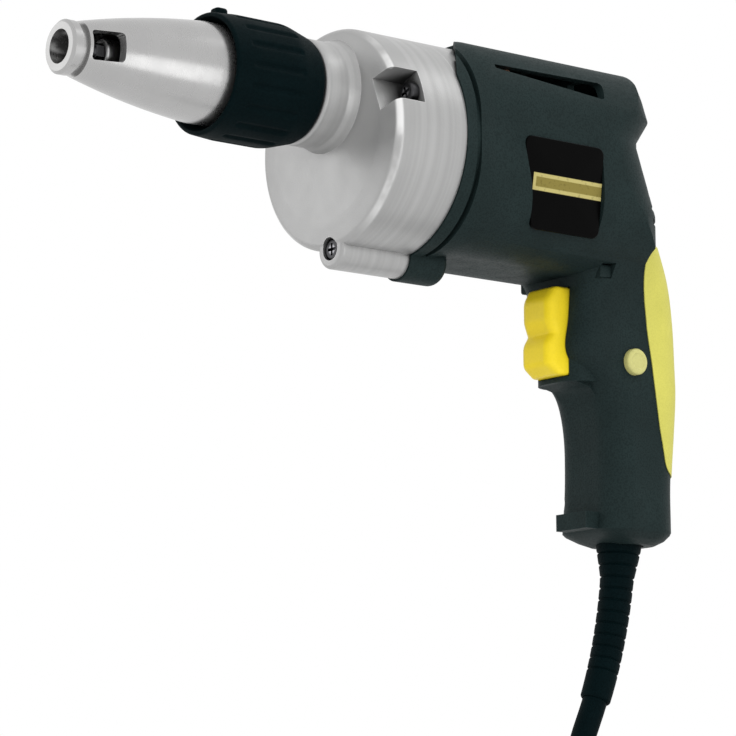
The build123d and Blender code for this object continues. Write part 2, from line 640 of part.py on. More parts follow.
def make_collar():
    """Grip collar: tapered ends, fluted barrel, index nub, and a web that runs on the guide stub."""
    collar = turned([(COLLAR_X0, 0), (COLLAR_X1, 0), (COLLAR_X1, COLLAR_FRONT_R, COLLAR_ROUND / 2),
                     (COLLAR_X1 - COLLAR_FRONT_LEN, COLLAR_R, COLLAR_BEND_R),
                     (COLLAR_X0 + COLLAR_REAR_LEN, COLLAR_R, COLLAR_BEND_R),
                     (COLLAR_X0, COLLAR_REAR_R, COLLAR_ROUND)], SPINDLE_Z)
    nub_x1 = COLLAR_X1 - NUB_SET
    nub = block(nub_x1 - NUB_LEN, nub_x1, -NUB_HALF, NUB_HALF, SPINDLE_Z + COLLAR_FRONT_R - EPS,
                SPINDLE_Z + COLLAR_R + NUB_H)
    collar += fillet(nub.edges().filter_by(Axis.X).group_by(Axis.Z)[-1], NUB_HALF / 2)
    flute_x1 = COLLAR_X1 - NUB_LEN
    flute = along_x(FLUTE_R, flute_x1 - FLUTE_LEN, flute_x1, SPINDLE_Z + COLLAR_R + FLUTE_R - FLUTE_DEPTH)
    step = 360 / COLLAR_FLUTES
    axis = Axis((0, 0, SPINDLE_Z), (1, 0, 0))
    flutes = [flute.rotate(axis, step * (k + 0.5)) for k in range(COLLAR_FLUTES)]
    bores = [along_x(STUB_R + RUNNING, COLLAR_X0 - EPS, COLLAR_X1, SPINDLE_Z),
             along_x(COLLAR_BORE, COLLAR_X0 + COLLAR_WEB, COLLAR_X1 + EPS, SPINDLE_Z),
             turned([(COLLAR_X1 - COLLAR_MOUTH_LEN, 0), (COLLAR_X1 + EPS, 0),
                     (COLLAR_X1 + EPS, COLLAR_MOUTH_R), (COLLAR_X1, COLLAR_MOUTH_R),
                     (COLLAR_X1 - COLLAR_MOUTH_LEN, COLLAR_BORE)], SPINDLE_Z)]
    return collar - bores - flutes


def make_nose():
    """Depth nose: sleeve on the guide stub, bowed cone with two windows, necked ring at the tip."""
    half = (BAND_X + NECKING_X0) / 2
    bow = (NOSE_R + NOSE_SHOULDER_R) / 2 + NOSE_BULGE
    cone = ThreePointArc((BAND_X, 0, SPINDLE_Z + NOSE_R), (half, 0, SPINDLE_Z + bow),
                         (NECKING_X0, 0, SPINDLE_Z + NOSE_SHOULDER_R))
    mouth_x = NECKING_X0 - NOSE_NECK_LEN
    throat_x = mouth_x - NOSE_NECK_LEN
    rest = Polyline(*[(x, 0, SPINDLE_Z + r) for x, r in (
        (NECKING_X0, NOSE_SHOULDER_R), (NECKING_X0, NOSE_NECK_R), (NECKING_X1, NOSE_NECK_R),
        (NECKING_X1, NOSE_RING_R), (NOSE_TIP_X - EPS, NOSE_RING_R), (NOSE_TIP_X, NOSE_RING_R - EPS),
        (NOSE_TIP_X, NOSE_MOUTH_R), (mouth_x, NOSE_MOUTH_R), (throat_x, NOSE_SHOULDER_R - NOSE_WALL + EPS),
        (BAND_X - EPS, STUB_R + SLIDING), (SLEEVE_X0, STUB_R + SLIDING), (SLEEVE_X0, NOSE_R),
        (BAND_X, NOSE_R))])
    nose = revolve(make_face([cone, rest]), Axis((0, 0, SPINDLE_Z), (1, 0, 0)))
    window = block(NECKING_X0 - EPS - WINDOW_LEN, NECKING_X0 - EPS, -NOSE_R, NOSE_R,
                   SPINDLE_Z - WINDOW_HALF, SPINDLE_Z + WINDOW_HALF)
    nose -= fillet(window.edges().filter_by(Axis.Y), WINDOW_HALF / 4)
    for side in (1, -1):
        z0, z1 = sorted((SPINDLE_Z + side * (STUB_R - KEY_H), SPINDLE_Z + side * (STUB_R + EPS / 2)))
        nose += block(SLEEVE_X0, SLEEVE_X0 + KEY_LEN, -KEY_HALF, KEY_HALF, z0, z1)
    return nose


# Motor
REAR_BEARING_X1 = REAR_BEARING_X + REAR_BEARING_W
PINION_X1 = GEAR_X1 + EPS
FRONT_BEARING_X1 = PLATE_REAR - EPS
FRONT_BEARING_X0 = FRONT_BEARING_X1 - BEARING_W
CORE_X1 = CORE_X + CORE_LEN
FIELD_BORE = CORE_R + AIR_GAP


def make_motor_shaft():
    """Armature shaft with the pinion cut on its front end and a thinner rear journal."""
    shaft = along_x(SHAFT_R, REAR_BEARING_X1, GEAR_X0 - EPS / 2, MOTOR_Z)
    shaft += along_x(REAR_SHAFT_R, REAR_BEARING_X, REAR_BEARING_X1 + EPS, MOTOR_Z)
    return shaft + gear_x(PINION_TEETH, TOOTH_SHIFT, 90, GEAR_X0 - EPS / 2, PINION_X1, MOTOR_Z)


def slots_about_motor(slot, count):
    """Copies of a slot that stands at the top, spread evenly round the motor axis."""
    return [turned_about_motor(slot, 360 * k / count) for k in range(count)]


def make_core():
    """Slotted armature core."""
    core = ring_x(CORE_R, SHAFT_R, CORE_X, CORE_X1, MOTOR_Z)
    slot = block(CORE_X - EPS, CORE_X1 + EPS, -CORE_SLOT_W / 2, CORE_SLOT_W / 2,
                 MOTOR_Z + CORE_R - CORE_SLOT_DEPTH, MOTOR_Z + CORE_R + EPS)
    return core - slots_about_motor(slot, CORE_SLOTS)


def winding_head(x0, x1):
    """Rounded ring of armature winding at one end of the core."""
    bend = (x1 - x0) * HEAD_ROUND
    return turned([(x0, HEAD_IN_R, bend), (x1, HEAD_IN_R, bend), (x1, HEAD_R, bend), (x0, HEAD_R, bend)],
                  MOTOR_Z)


def make_commutator():
    """Ring of copper bars."""
    ring = ring_x(COMMUTATOR_R, SHAFT_R, COMMUTATOR_X, COMMUTATOR_X + COMMUTATOR_LEN, MOTOR_Z)
    slot = block(COMMUTATOR_X - EPS, COMMUTATOR_X + COMMUTATOR_LEN + EPS, -BAR_GAP / 2, BAR_GAP / 2,
                 MOTOR_Z + COMMUTATOR_R - BAR_GAP_DEPTH, MOTOR_Z + COMMUTATOR_R + EPS)
    return ring - slots_about_motor(slot, COMMUTATOR_BARS)


def make_fan():
    """Radial fan: hub, back disc and straight blades."""
    fan = ring_x(FAN_R, SHAFT_R, FAN_X, FAN_X + FAN_DISC, MOTOR_Z)
    fan += ring_x(FAN_HUB_R, SHAFT_R, FAN_X, FAN_X + FAN_W, MOTOR_Z)
    blade = block(FAN_X + FAN_DISC - EPS / 2, FAN_X + FAN_W, -FAN_BLADE_T / 2, FAN_BLADE_T / 2,
                  MOTOR_Z + FAN_BLADE_IN_R, MOTOR_Z + FAN_R - EPS)
    return fan + slots_about_motor(blade, FAN_BLADES)


def bearing(x0, width, outer, inner):
    """Shielded ball bearing: the outer ring carries the shields, the inner ring turns inside them."""
    split = inner + BEARING_RING
    outer_race = ring_x(outer, split + LOOSE, x0, x0 + width, MOTOR_Z)
    return outer_race, ring_x(split, inner, x0, x0 + width, MOTOR_Z)


def make_field_stack():
    """Two-pole laminated stack with slots for the coils."""
    stack = ring_x(FIELD_R, FIELD_BORE, CORE_X, CORE_X1, MOTOR_Z)
    middle = (POLE_HALF + SLOT_HALF) / 2
    half = (SLOT_HALF - POLE_HALF) / 2
    cuts = []
    for pole in (90, 270):
        for side in (1, -1):
            cuts.append(sector_x(FIELD_SLOT_R, FIELD_BORE - EPS, CORE_X - EPS, CORE_X1 + EPS, MOTOR_Z,
                                 pole + side * middle, half))
    return stack - cuts


def make_field_coil(pole):
    """Saddle coil round one pole: two runs along the slots and two end turns."""
    outer, inner = FIELD_SLOT_R - LOOSE, FIELD_BORE + EPS
    saddle = sector_x(outer, inner, CORE_X - COIL_HEAD, CORE_X1 + COIL_HEAD, MOTOR_Z, pole,
                      SLOT_HALF - COIL_CLEAR)
    window = sector_x(outer + EPS, inner - EPS, CORE_X - LOOSE, CORE_X1 + LOOSE, MOTOR_Z, pole,
                      POLE_HALF + COIL_CLEAR)
    return saddle - window


# Housing
def section_x(x, half, top, bottom, r_top, r_bottom):
    """Rounded section across the barrel at a station along X, measured from the motor axis."""
    plane = Plane((x, 0, MOTOR_Z), x_dir=(0, 1, 0), z_dir=(1, 0, 0))
    sketch = Pos(0, (top - bottom) / 2) * Rectangle(2 * half, top + bottom)
    sketch = fillet(sketch.vertices().group_by(Axis.Y)[-1], r_top)
    sketch = fillet(sketch.vertices().group_by(Axis.Y)[0], r_bottom)
    return plane * sketch


def barrel_section(x, inset):
    """The barrel's own section, drawn in by an inset."""
    return section_x(x, BARREL_HALF - inset, BARREL_TOP - inset, BARREL_BOTTOM - inset,
                     BARREL_R_TOP - inset, BARREL_R_BOTTOM - inset)


def round_section(x, inset):
    """The nearly round section that meets the gear case."""
    half = ROUND_HALF - inset
    return section_x(x, half, half, half, half - EPS, half - EPS)


def rear_plan(x_rear, z, inset):
    """Plan of the barrel with two rounded corners at the back."""
    half = BARREL_HALF - inset + REAR_FLARE
    round_r = REAR_ROUND - inset
    corners = ((JOINT_X, -half), (x_rear, -half), (x_rear, half), (JOINT_X, half))
    plan = FilletPolyline(*corners, radius=(0, round_r, round_r, 0), close=True)
    return Pos(0, 0, z) * make_face(plan)


ROUND_X = JOINT_X - ROUND_LEN
BARREL_LOW_Z = MOTOR_Z - BARREL_BOTTOM


def barrel_form(inset, rear_shift):
    """The barrel as one body, drawn in by an inset and with its back moved forward by a shift."""
    body = extrude(barrel_section(REAR_LOW_X - EPS, inset), amount=ROUND_X - REAR_LOW_X + EPS, dir=(1, 0, 0))
    stations = ((BARREL_LOW_Z - EPS, REAR_LOW_X), *REAR_PROFILE)
    back = loft([rear_plan(x + rear_shift, z, inset) for z, x in stations], ruled=True)
    front = loft([barrel_section(ROUND_X, inset), round_section(JOINT_X, inset)], ruled=True)
    return (body & back) + front


STRAP_OUTLINE = ((-40.0, 56.0), (11.5, 53.5, 4.0), (8.0, 44.0, 20.0), (2.8, 30.0, 40.0), (-1.0, 12.0, 40.0),
                 (-4.6, -11.0, 40.0), (-8.0, -26.0, 6.0), (-40.0, -30.0))
PANEL_CORNERS = ((-19.0, 16.2), (18.0, 16.2), (19.5, -16.0), (-12.0, -16.0))
PANEL_MIDDLE = (58.0, 34.4, 67.0)
PANEL_ROUND = 3.0
GROOVE_OUTLINE = ((86.0, 107.4, 0.6), (86.0, 105.8, 0.6), (37.0, 101.5, 1.5), (35.0, 108.6, 1.5))
GROOVE_IN_Y = 24.0


def smooth_row(z):
    """Handle sizes at a height, on a smooth curve through the table's rows."""
    table = HANDLE_SECTIONS
    k = max(i for i in range(len(table) - 1) if table[i][0] <= z + 1e-9)
    a, b = table[k], table[k + 1]
    before, after = table[max(k - 1, 0)], table[min(k + 2, len(table) - 1)]
    span = b[0] - a[0]
    u = (z - a[0]) / span
    row = []
    for c in range(1, len(a)):
        slope_a = (b[c] - before[c]) / (b[0] - before[0]) * span
        slope_b = (after[c] - a[c]) / (after[0] - a[0]) * span
        near = (2 * u ** 3 - 3 * u ** 2 + 1) * a[c] + (u ** 3 - 2 * u ** 2 + u) * slope_a
        far = (3 * u ** 2 - 2 * u ** 3) * b[c] + (u ** 3 - u ** 2) * slope_b
        row.append(near + far)
    return row


def handle_section(row, inset, z):
    """Left half of a handle section, drawn in by an inset and carried a little past the middle plane."""
    front, back, half, r_front, r_back = row
    x0, x1, y1 = back + inset, front - inset, half - inset
    points = ((x0, -SPLIT_PAST, z), (x1, -SPLIT_PAST, z), (x1, y1, z), (x0, y1, z))
    return make_face(FilletPolyline(*points, radius=(0, 0, r_front - inset, r_back - inset), close=True))


def left_half(shape):
    """The part of a shape on the operator's left."""
    return shape & block(-REACH, REACH, 0, REACH, -REACH, REACH)


def handle_half(inset, low_z):
    """Left half of the handle as one lofted body, drawn in by an inset, from a height up."""
    high_z = HANDLE_SECTIONS[-1][0]
    heights = [low_z + (high_z - low_z) * k / HANDLE_STEPS for k in range(HANDLE_STEPS + 1)]
    return left_half(loft([handle_section(smooth_row(z), inset, z) for z in heights]))


def panel_prism(inset, depth0, depth1):
    """The side panel's outline, drawn in by an inset and carried between two depths along its normal."""
    tilt = radians(PANEL_TILT)
    plane = Plane(PANEL_MIDDLE, x_dir=(-1, 0, 0), z_dir=(0, cos(tilt), -sin(tilt)))
    face = make_face(FilletPolyline(*PANEL_CORNERS, radius=PANEL_ROUND, close=True))
    face = offset(face, -inset) if inset else face
    return extrude(plane.offset(depth0) * face, amount=depth1 - depth0, dir=plane.z_dir)


def strap_zone():
    """Column through the handle's back that holds the strap's left half."""
    return prism_y(STRAP_OUTLINE, 0, BARREL_HALF)


GUARD_TOP_Z = BASE_Z + FLOOR_T
SCREWS = ([(x, z, BARREL_SEAT, BARREL_BITE) for x, z in BARREL_SCREWS]
          + [(x, z, GRIP_SEAT, GRIP_BITE) for x, z in GRIP_SCREWS])
HOLDER_OUT_Y = BARREL_HALF - WALL - BRUSH_CAP
HOLDER_HALF_X = BRUSH_W / 2 + HOLDER_WALL
HOLDER_HALF_Z = BRUSH_H / 2 + HOLDER_WALL
LOW_SCREW_Z = MOTOR_Z - LOW_SCREW_RADIUS


def housing_outside():
    """Left half of the outer form: barrel, handle, trigger ledge and shoulder, foot tab, bulge and lug."""
    ledge_z = TRIGGER_LOW - LOOSE
    ledge = prism_y([(HANDLE_SECTIONS[3][1] / 2, ledge_z), (LEDGE_FRONT, ledge_z, LEDGE_ROUND),
                     (LEDGE_FRONT - EPS, ledge_z - LEDGE_T, LEDGE_ROUND), *LEDGE_UNDERSIDE], 0, LEDGE_HALF)
    top, front = HANDLE_SECTIONS[4][:2]
    corners = ((0, 0), (front, 0), (front, SHOULDER_HALF), (0, SHOULDER_HALF))
    plan = make_face(FilletPolyline(*corners, radius=(0, 0, SHOULDER_ROUND, 0), close=True))
    shoulder = extrude(Pos(0, 0, ledge_z - LEDGE_T) * plan, amount=top - ledge_z + LEDGE_T, dir=(0, 0, 1))
    tab = block(0, TAB_FRONT, 0, TAB_HALF, BASE_Z, BASE_Z + TAB_H)
    foot, *rest = HANDLE_SECTIONS[0][1:]
    rings = [handle_section((foot - lean, *rest), inset, BASE_Z - drop) for lean, inset, drop in BASE_RINGS]
    bulge = left_half(loft(rings, ruled=True))
    lug = along_x(LUG_R, JOINT_X - LUG_LEN, JOINT_X, LOW_SCREW_Z)
    lug = left_half(fillet(lug.edges().sort_by(Axis.X)[0], LUG_R / 2))
    return left_half(barrel_form(0.0, 0.0)) + handle_half(0.0, BASE_Z) + [ledge, shoulder, tab, bulge, lug]


def housing_inside():
    """Left half of the hollow, with more wall left under the strap."""
    under_strap = handle_half(WALL + STRAP_T, GUARD_TOP_Z)
    grip = (handle_half(WALL, GUARD_TOP_Z) - strap_zone()) + under_strap
    return (left_half(barrel_form(WALL, REAR_WALL)) - (strap_zone() - under_strap)) + grip


def housing_ribs():
    """Left inner ribs: field stack, plate stop, rear bearing cup, brush box, switch ribs and screw bosses."""
    ribs = []
    for x in (CORE_X + RIB_T, CORE_X1 - 2 * RIB_T):
        rib = extrude(barrel_section(x, WALL / 2), amount=RIB_T, dir=(1, 0, 0))
        ribs.append(rib - [along_x(FIELD_R, x - EPS, x + RIB_T + EPS, MOTOR_Z),
                           block(x - EPS, x + RIB_T + EPS, -BARREL_HALF, BARREL_HALF,
                                 MOTOR_Z - RIB_OPEN, MOTOR_Z + RIB_OPEN),
                           block(x - EPS, x + RIB_T + EPS, -RIB_OPEN, RIB_OPEN, 0, 2 * MOTOR_Z)])
    stop = extrude(barrel_section(PLATE_REAR - RIB_T, WALL / 2), amount=RIB_T, dir=(1, 0, 0))
    ribs.append(stop - along_x(PLATE_R - PLATE_STOP, PLATE_REAR - RIB_T - EPS, PLATE_REAR + EPS, MOTOR_Z))
    cup = REAR_BEARING_R + BOOT_T
    ribs.append(ring_x(cup + WALL, cup, REAR_LOW_X + EPS, REAR_BEARING_X1 + END_GAP, MOTOR_Z))
    brush = block(BRUSH_X - HOLDER_HALF_X - BOX_WALL, BRUSH_X + HOLDER_HALF_X + BOX_WALL,
                  HOLDER_Y0 + BOX_GRIP,
                  BARREL_HALF - EPS, MOTOR_Z - HOLDER_HALF_Z - BOX_WALL, MOTOR_Z + HOLDER_HALF_Z + BOX_WALL)
    ribs.append(brush - block(BRUSH_X - HOLDER_HALF_X, BRUSH_X + HOLDER_HALF_X, 0, HOLDER_OUT_Y,
                              MOTOR_Z - HOLDER_HALF_Z, MOTOR_Z + HOLDER_HALF_Z))
    for x in (SWITCH_REAR + RIB_T, SWITCH_FRONT - 2 * RIB_T):
        ribs.append(block(x, x + RIB_T, SWITCH_HALF, HANDLE_SECTIONS[3][3] - EPS,
                          SWITCH_RIB_LOW, SWITCH_RIB_HIGH))
    side = block(JOINT_X - CASE_SCREW_BITE - BOX_WALL, JOINT_X, -BOSS_R, BOSS_R,
                 MOTOR_Z + SIDE_SCREW_RADIUS - BOSS_R,
                 MOTOR_Z + ROUND_HALF - WALL / 2)
    ribs.append(turned_about_motor(side, SIDE_SCREW_ANGLE))
    ribs.append(along_x(LUG_R - EPS, JOINT_X - LUG_LEN + EPS, JOINT_X, LOW_SCREW_Z))
    ribs += [along_y(BOSS_R, 0, BARREL_HALF, x, z) for x, z, seat, bite in SCREWS]
    return ribs


def housing_cuts():
    """Openings and holes that both halves have, on the left side."""
    cuts = [tongue_prism(LOOSE) - along_x(PLATE_R, 0, JOINT_X + EPS, MOTOR_Z)]
    cuts.append(ring_x(ROUND_HALF + LUG_R, ROUND_HALF - LIP_GROOVE_DEPTH, JOINT_X - LIP_W - LIP_GROOVE_W,
                       JOINT_X - LIP_W, MOTOR_Z) - block(0, JOINT_X, -LUG_R, LUG_R, 0, MOTOR_Z))
    cuts.append(block(SWITCH_FRONT - EPS, TRIGGER_FRONT + LUG_R, -TRIGGER_HALF - LOOSE,
                      TRIGGER_HALF + LOOSE, TRIGGER_LOW - LOOSE, TRIGGER_HIGH + LOOSE))
    cuts.append(prism_y(GROOVE_OUTLINE, GROOVE_IN_Y, BARREL_HALF + EPS))
    for k in range(VENT_COUNT):
        z = VENT_TOP_Z - k * VENT_PITCH
        cuts.append(block(-REACH, REAR_NOTCH_X + REAR_WALL, VENT_IN_Y, BARREL_HALF, z - VENT_H / 2,
                          z + VENT_H / 2))
    bar = REVERSE_W / 2 + SLIDING
    cuts.append(block(REVERSE_X - bar, REVERSE_X + bar, -EPS, BARREL_HALF, REVERSE_Z - bar, REVERSE_Z + bar))
    cuts.append(along_z(GUARD_HEAD_R + SLIDING, BASE_Z - GUARD_HEAD_DROP, GUARD_TOP_Z + EPS,
                        CORD_ROUTE[1][0]))
    bite_x = JOINT_X - CASE_SCREW_BITE - EPS
    cuts.append(along_x(CASE_SCREW_R + RUNNING, bite_x, JOINT_X + EPS, LOW_SCREW_Z))
    hole = along_x(CASE_SCREW_R + RUNNING, bite_x, JOINT_X + EPS, MOTOR_Z + SIDE_SCREW_RADIUS)
    cuts.append(turned_about_motor(hole, SIDE_SCREW_ANGLE))
    cuts.append(strap_zone() - handle_half(STRAP_T, BASE_Z))
    return cuts


def make_housing():
    """The two housing halves; the right one is the mirror image with its own screw seats and cord cradle."""
    outside = housing_outside()
    common = outside - housing_inside() + [left_half(rib) & outside for rib in housing_ribs()]
    common = common - housing_cuts()
    left = common + [panel_prism(0.0, -PANEL_BACK, 0.0) & outside]
    left -= [panel_prism(0.0, 0.0, BARREL_HALF),
             along_y(LOCK_R + SLIDING, SWITCH_HALF, BARREL_HALF, LOCK_X, LOCK_Z)]
    left -= [along_y(SCREW_R + RUNNING, -EPS, bite + END_GAP, x, z) for x, z, seat, bite in SCREWS]
    cradle = block(-CLAMP_HALF, CLAMP_HALF, EPS, BARREL_HALF, CLAMP_Z - CLAMP_H / 2, CLAMP_Z + CLAMP_H / 2)
    right = mirrored(common + [cradle & outside])
    right -= [along_z(CORD_R + SLIDING, CLAMP_Z - CLAMP_H, CLAMP_Z + CLAMP_H, CORD_ROUTE[1][0] / 2)]
    right -= [along_y(SCREW_R + RUNNING, -CLAMP_BITE - END_GAP, EPS, side * CLAMP_SCREW_X, CLAMP_Z)
              for side in (1, -1)]
    for x, z, seat, bite in SCREWS:
        right -= [along_y(SCREW_R + SLIDING, -seat - EPS, EPS, x, z),
                  along_y(SCREW_HEAD_R + LOOSE, -BARREL_HALF - EPS, -seat, x, z)]
    return left, right


def make_strap():
    """Soft strap on the handle's back, a little proud of the housing."""
    half = (handle_half(-STRAP_PROUD, BASE_Z) & strap_zone()) - handle_half(STRAP_T, BASE_Z)
    return half + mirrored(half)


# Switch group
SWITCH_MIDDLE = (TRIGGER_LOW + TRIGGER_HIGH) / 2
PLUNGER_REAR = SWITCH_FRONT - PLUNGER_DEPTH


def make_trigger():
    """Hollow two-finger trigger with a step between the finger rests."""
    profile = [(TRIGGER_REAR, TRIGGER_LOW), *[(TRIGGER_FRONT - back, z, r) for back, z, r in TRIGGER_PROFILE],
               (TRIGGER_REAR, TRIGGER_HIGH)]
    body = prism_y(profile, -TRIGGER_HALF, TRIGGER_HALF)
    plan = FilletPolyline((TRIGGER_REAR, -TRIGGER_HALF), (TRIGGER_FRONT, -TRIGGER_HALF),
                          (TRIGGER_FRONT, TRIGGER_HALF), (TRIGGER_REAR, TRIGGER_HALF),
                          radius=(0, TRIGGER_ROUND, TRIGGER_ROUND, 0), close=True)
    body &= extrude(make_face(plan), amount=TRIGGER_HIGH + EPS)
    pocket = along_x(TRIGGER_POCKET_R, TRIGGER_REAR - EPS, TRIGGER_REAR + TRIGGER_POCKET_LEN, SWITCH_MIDDLE)
    return body - pocket - along_x(PLUNGER_R, TRIGGER_REAR, TRIGGER_REAR + PLUNGER_GRIP, SWITCH_MIDDLE)


def make_switch():
    """Switch block with a bore for the plunger, a seat for the lock spring and two terminals."""
    body = block(SWITCH_REAR, SWITCH_FRONT, -SWITCH_HALF, SWITCH_HALF, SWITCH_LOW, SWITCH_HIGH)
    body = fillet(body.edges().filter_by(Axis.Y), SWITCH_ROUND)
    bore = along_x(PLUNGER_R + RUNNING, PLUNGER_REAR - TRIGGER_TRAVEL - EPS,
                   SWITCH_FRONT + EPS, SWITCH_MIDDLE)
    seat = along_y(LOCK_SEAT_R, SWITCH_HALF - LOCK_SEAT_DEPTH, SWITCH_HALF + EPS, LOCK_X, LOCK_SPRING_Z)
    return body - [bore, seat]


def make_lock_button():
    """Round button with a domed face and a flange behind the housing wall."""
    wall_y = HANDLE_SECTIONS[4][3]
    flange_y = wall_y - WALL - LOCK_GAP
    stem = along_y(LOCK_R, flange_y - EPS, wall_y + LOCK_PROUD, LOCK_X, LOCK_Z)
    stem = fillet(stem.edges().sort_by(Axis.Y)[-1], LOCK_ROUND)
    flange = along_y(LOCK_R + LOCK_FLANGE, flange_y - LOCK_FLANGE_T, flange_y, LOCK_X, LOCK_Z)
    return stem + flange, flange_y - LOCK_FLANGE_T


def make_reversing_bar():
    """Push-through bar with a notch for the switch arm in the middle."""
    half = REVERSE_W / 2
    bar = block(REVERSE_X - half, REVERSE_X + half, -REVERSE_REACH, REVERSE_REACH,
                REVERSE_Z - half, REVERSE_Z + half)
    bar = fillet(bar.edges().filter_by(Axis.X), REVERSE_ROUND)
    return bar - block(REVERSE_X - half - EPS, REVERSE_X + half + EPS, -REVERSE_NOTCH, REVERSE_NOTCH,
                       REVERSE_Z - half - EPS, REVERSE_Z)


# Cord
def cord_path(points):
    """Straight runs joined by the largest tangent arcs that the runs allow."""
    radii = []
    for before, here, after in zip(points, points[1:], points[2:]):
        turn = radians((Vector(here) - Vector(before)).get_angle(Vector(after) - Vector(here)))
        radii.append(0.45 * min(dist(before, here), dist(here, after)) / tan(turn / 2))
    return FilletPolyline(*points, radius=radii).wire()


def tube_along(path, radius):
    """Round tube swept along a path, square to its start."""
    return sweep(Plane(path @ 0, z_dir=path % 0) * Circle(radius), path=path)


def section_on(path, run, radius):
    """Circle square to a path at a distance along it."""
    at = run / path.length
    return Plane(path @ at, z_dir=path % at) * Circle(radius)


def make_guard(path):
    """Tapered guard moulded round the cord, with a flange that the housing holds."""
    x = CORD_ROUTE[1][0]
    flange = along_z(GUARD_FLANGE_R, GUARD_TOP_Z, GUARD_TOP_Z + GUARD_FLANGE_T, x)
    head_low = GUARD_TOP_Z - GUARD_HEAD_DROP
    head = along_z(GUARD_HEAD_R, head_low, GUARD_TOP_Z, x)
    start = CORD_ROUTE[0][1] - GUARD_TOP_Z
    runs = ((GUARD_MID_RUN, GUARD_MID_R), ((GUARD_MID_RUN + GUARD_RUN) / 2, (GUARD_MID_R + GUARD_END_R) / 2),
            (GUARD_RUN, GUARD_END_R))
    circles = [Pos(x, 0, head_low) * Circle(GUARD_HEAD_R)]
    circles += [section_on(path, start + run, radius) for run, radius in runs]
    return flange + head + loft(circles) - tube_along(path, CORD_R + SLIDING)


def biarc(p0, t0, p1, t1):
    """Two tangent arcs from a point and direction to another point and direction."""
    v = p1 - p0
    a = 2 * (t0.dot(t1) - 1)
    b = -2 * v.dot(t0 + t1)
    c = v.dot(v)
    reach = c / -b if abs(a) < 1e-9 else (-b - sqrt(b * b - 4 * a * c)) / (2 * a)
    reach = abs(reach)
    middle = (p0 + t0 * reach + p1 - t1 * reach) * 0.5
    along = (p1 - t1 * reach - p0 - t0 * reach).normalized()
    return [Edge.make_tangent_arc(p0, t0, middle), Edge.make_tangent_arc(middle, along, p1)]


COIL_PITCH = 2 * CORD_R + COIL_GAP
COIL_X = CORD_ROUTE[-1][0] - COIL_OUTER
COIL_Z = CORD_ROUTE[-1][1]
COIL_TURNS = 2 * COIL_TURNS_IN + 0.5


def coil_point(turn):
    """Centre line of the coil: spirals in on one layer, climbs in half a turn, spirals out on the next."""
    middle = COIL_TURNS / 2
    radius = COIL_OUTER - COIL_PITCH * (middle - abs(turn - middle))
    climb = min(max((turn - middle + 0.25) / 0.5, 0.0), 1.0)
    smooth = climb * climb * (3 - 2 * climb)
    angle = 2 * pi * turn
    return Vector(COIL_X + radius * cos(angle), COIL_PITCH * smooth, COIL_Z - radius * sin(angle))


def coil_direction(turn):
    """Direction of travel along the coil; its two ends run straight down."""
    if turn <= 0 or turn >= COIL_TURNS:
        return Vector(0, 0, -1)
    step = 1e-4
    return (coil_point(turn + step) - coil_point(turn - step)).normalized()


def make_coil():
    """The put-away cord, wound as one tube of quarter-turn biarcs."""
    quarters = round(COIL_TURNS * 4)
    edges = []
    for k in range(quarters):
        a, b = k / 4, (k + 1) / 4
        edges += biarc(coil_point(a), coil_direction(a), coil_point(b), coil_direction(b))
    end = coil_point(COIL_TURNS)
    straight = Vector(0, 0, -2 * CORD_R)
    last = Edge.make_line(end, end + straight)
    path = Wire(edges + [last])
    face = Plane(path @ 0, z_dir=path % 0) * RegularPolygon(CORD_R, CORD_SIDES)
    return sweep(face, path=path), end + straight


def make_tie():
    """Strap round the bundle of turns, opposite to where the cord comes in."""
    inner = COIL_OUTER - COIL_PITCH * (COIL_TURNS / 2) - CORD_R
    x0, x1 = COIL_X - COIL_OUTER - CORD_R - LOOSE, COIL_X - inner + LOOSE
    y0, y1 = -CORD_R - LOOSE, COIL_PITCH + CORD_R + LOOSE
    z0, z1 = COIL_Z - TIE_W / 2, COIL_Z + TIE_W / 2
    tie = block(x0 - TIE_T, x1 + TIE_T, y0 - TIE_T, y1 + TIE_T, z0, z1)
    tie = fillet(tie.edges().filter_by(Axis.Z), CORD_R)
    hole = block(x0, x1, y0, y1, z0 - EPS, z1 + EPS)
    return tie - fillet(hole.edges().filter_by(Axis.Z), CORD_R - TIE_T)


def make_plug(top):
    """Flat round-cornered plug body hanging on the cord, and its two pins."""
    x, y, z = top.X, top.Y, top.Z
    sections = [Pos(x, y, z - depth) * RectangleRounded(width, thick, corner)
                for depth, width, thick, corner in PLUG_SECTIONS]
    pins = []
    for side in (1, -1):
        pin = along_z(PIN_R, z - PLUG_LEN - PIN_LEN, z - PLUG_LEN, x + side * PIN_SPACING / 2, y)
        pins.append(fillet(pin.edges().sort_by(Axis.Z)[0], PIN_ROUND))
    return loft(sections, ruled=True), pins


def lead(points):
    """Insulated lead along short runs with rounded corners."""
    path = FilletPolyline(*points, radius=3 * LEAD_R).wire()
    return tube_along(path, LEAD_R)


def machine_screw(y_head, y_tip, x, z):
    """Short screw along Y, driven from the right: its head is at the lower Y."""
    direction = 1 if y_tip > y_head else -1
    low, high = sorted((y_head, y_head - direction * SCREW_HEAD_LEN))
    head = along_y(SCREW_HEAD_R, low, high, x, z)
    low, high = sorted((y_head - direction * EPS / 2, y_tip))
    return head + along_y(SCREW_R, low, high, x, z)


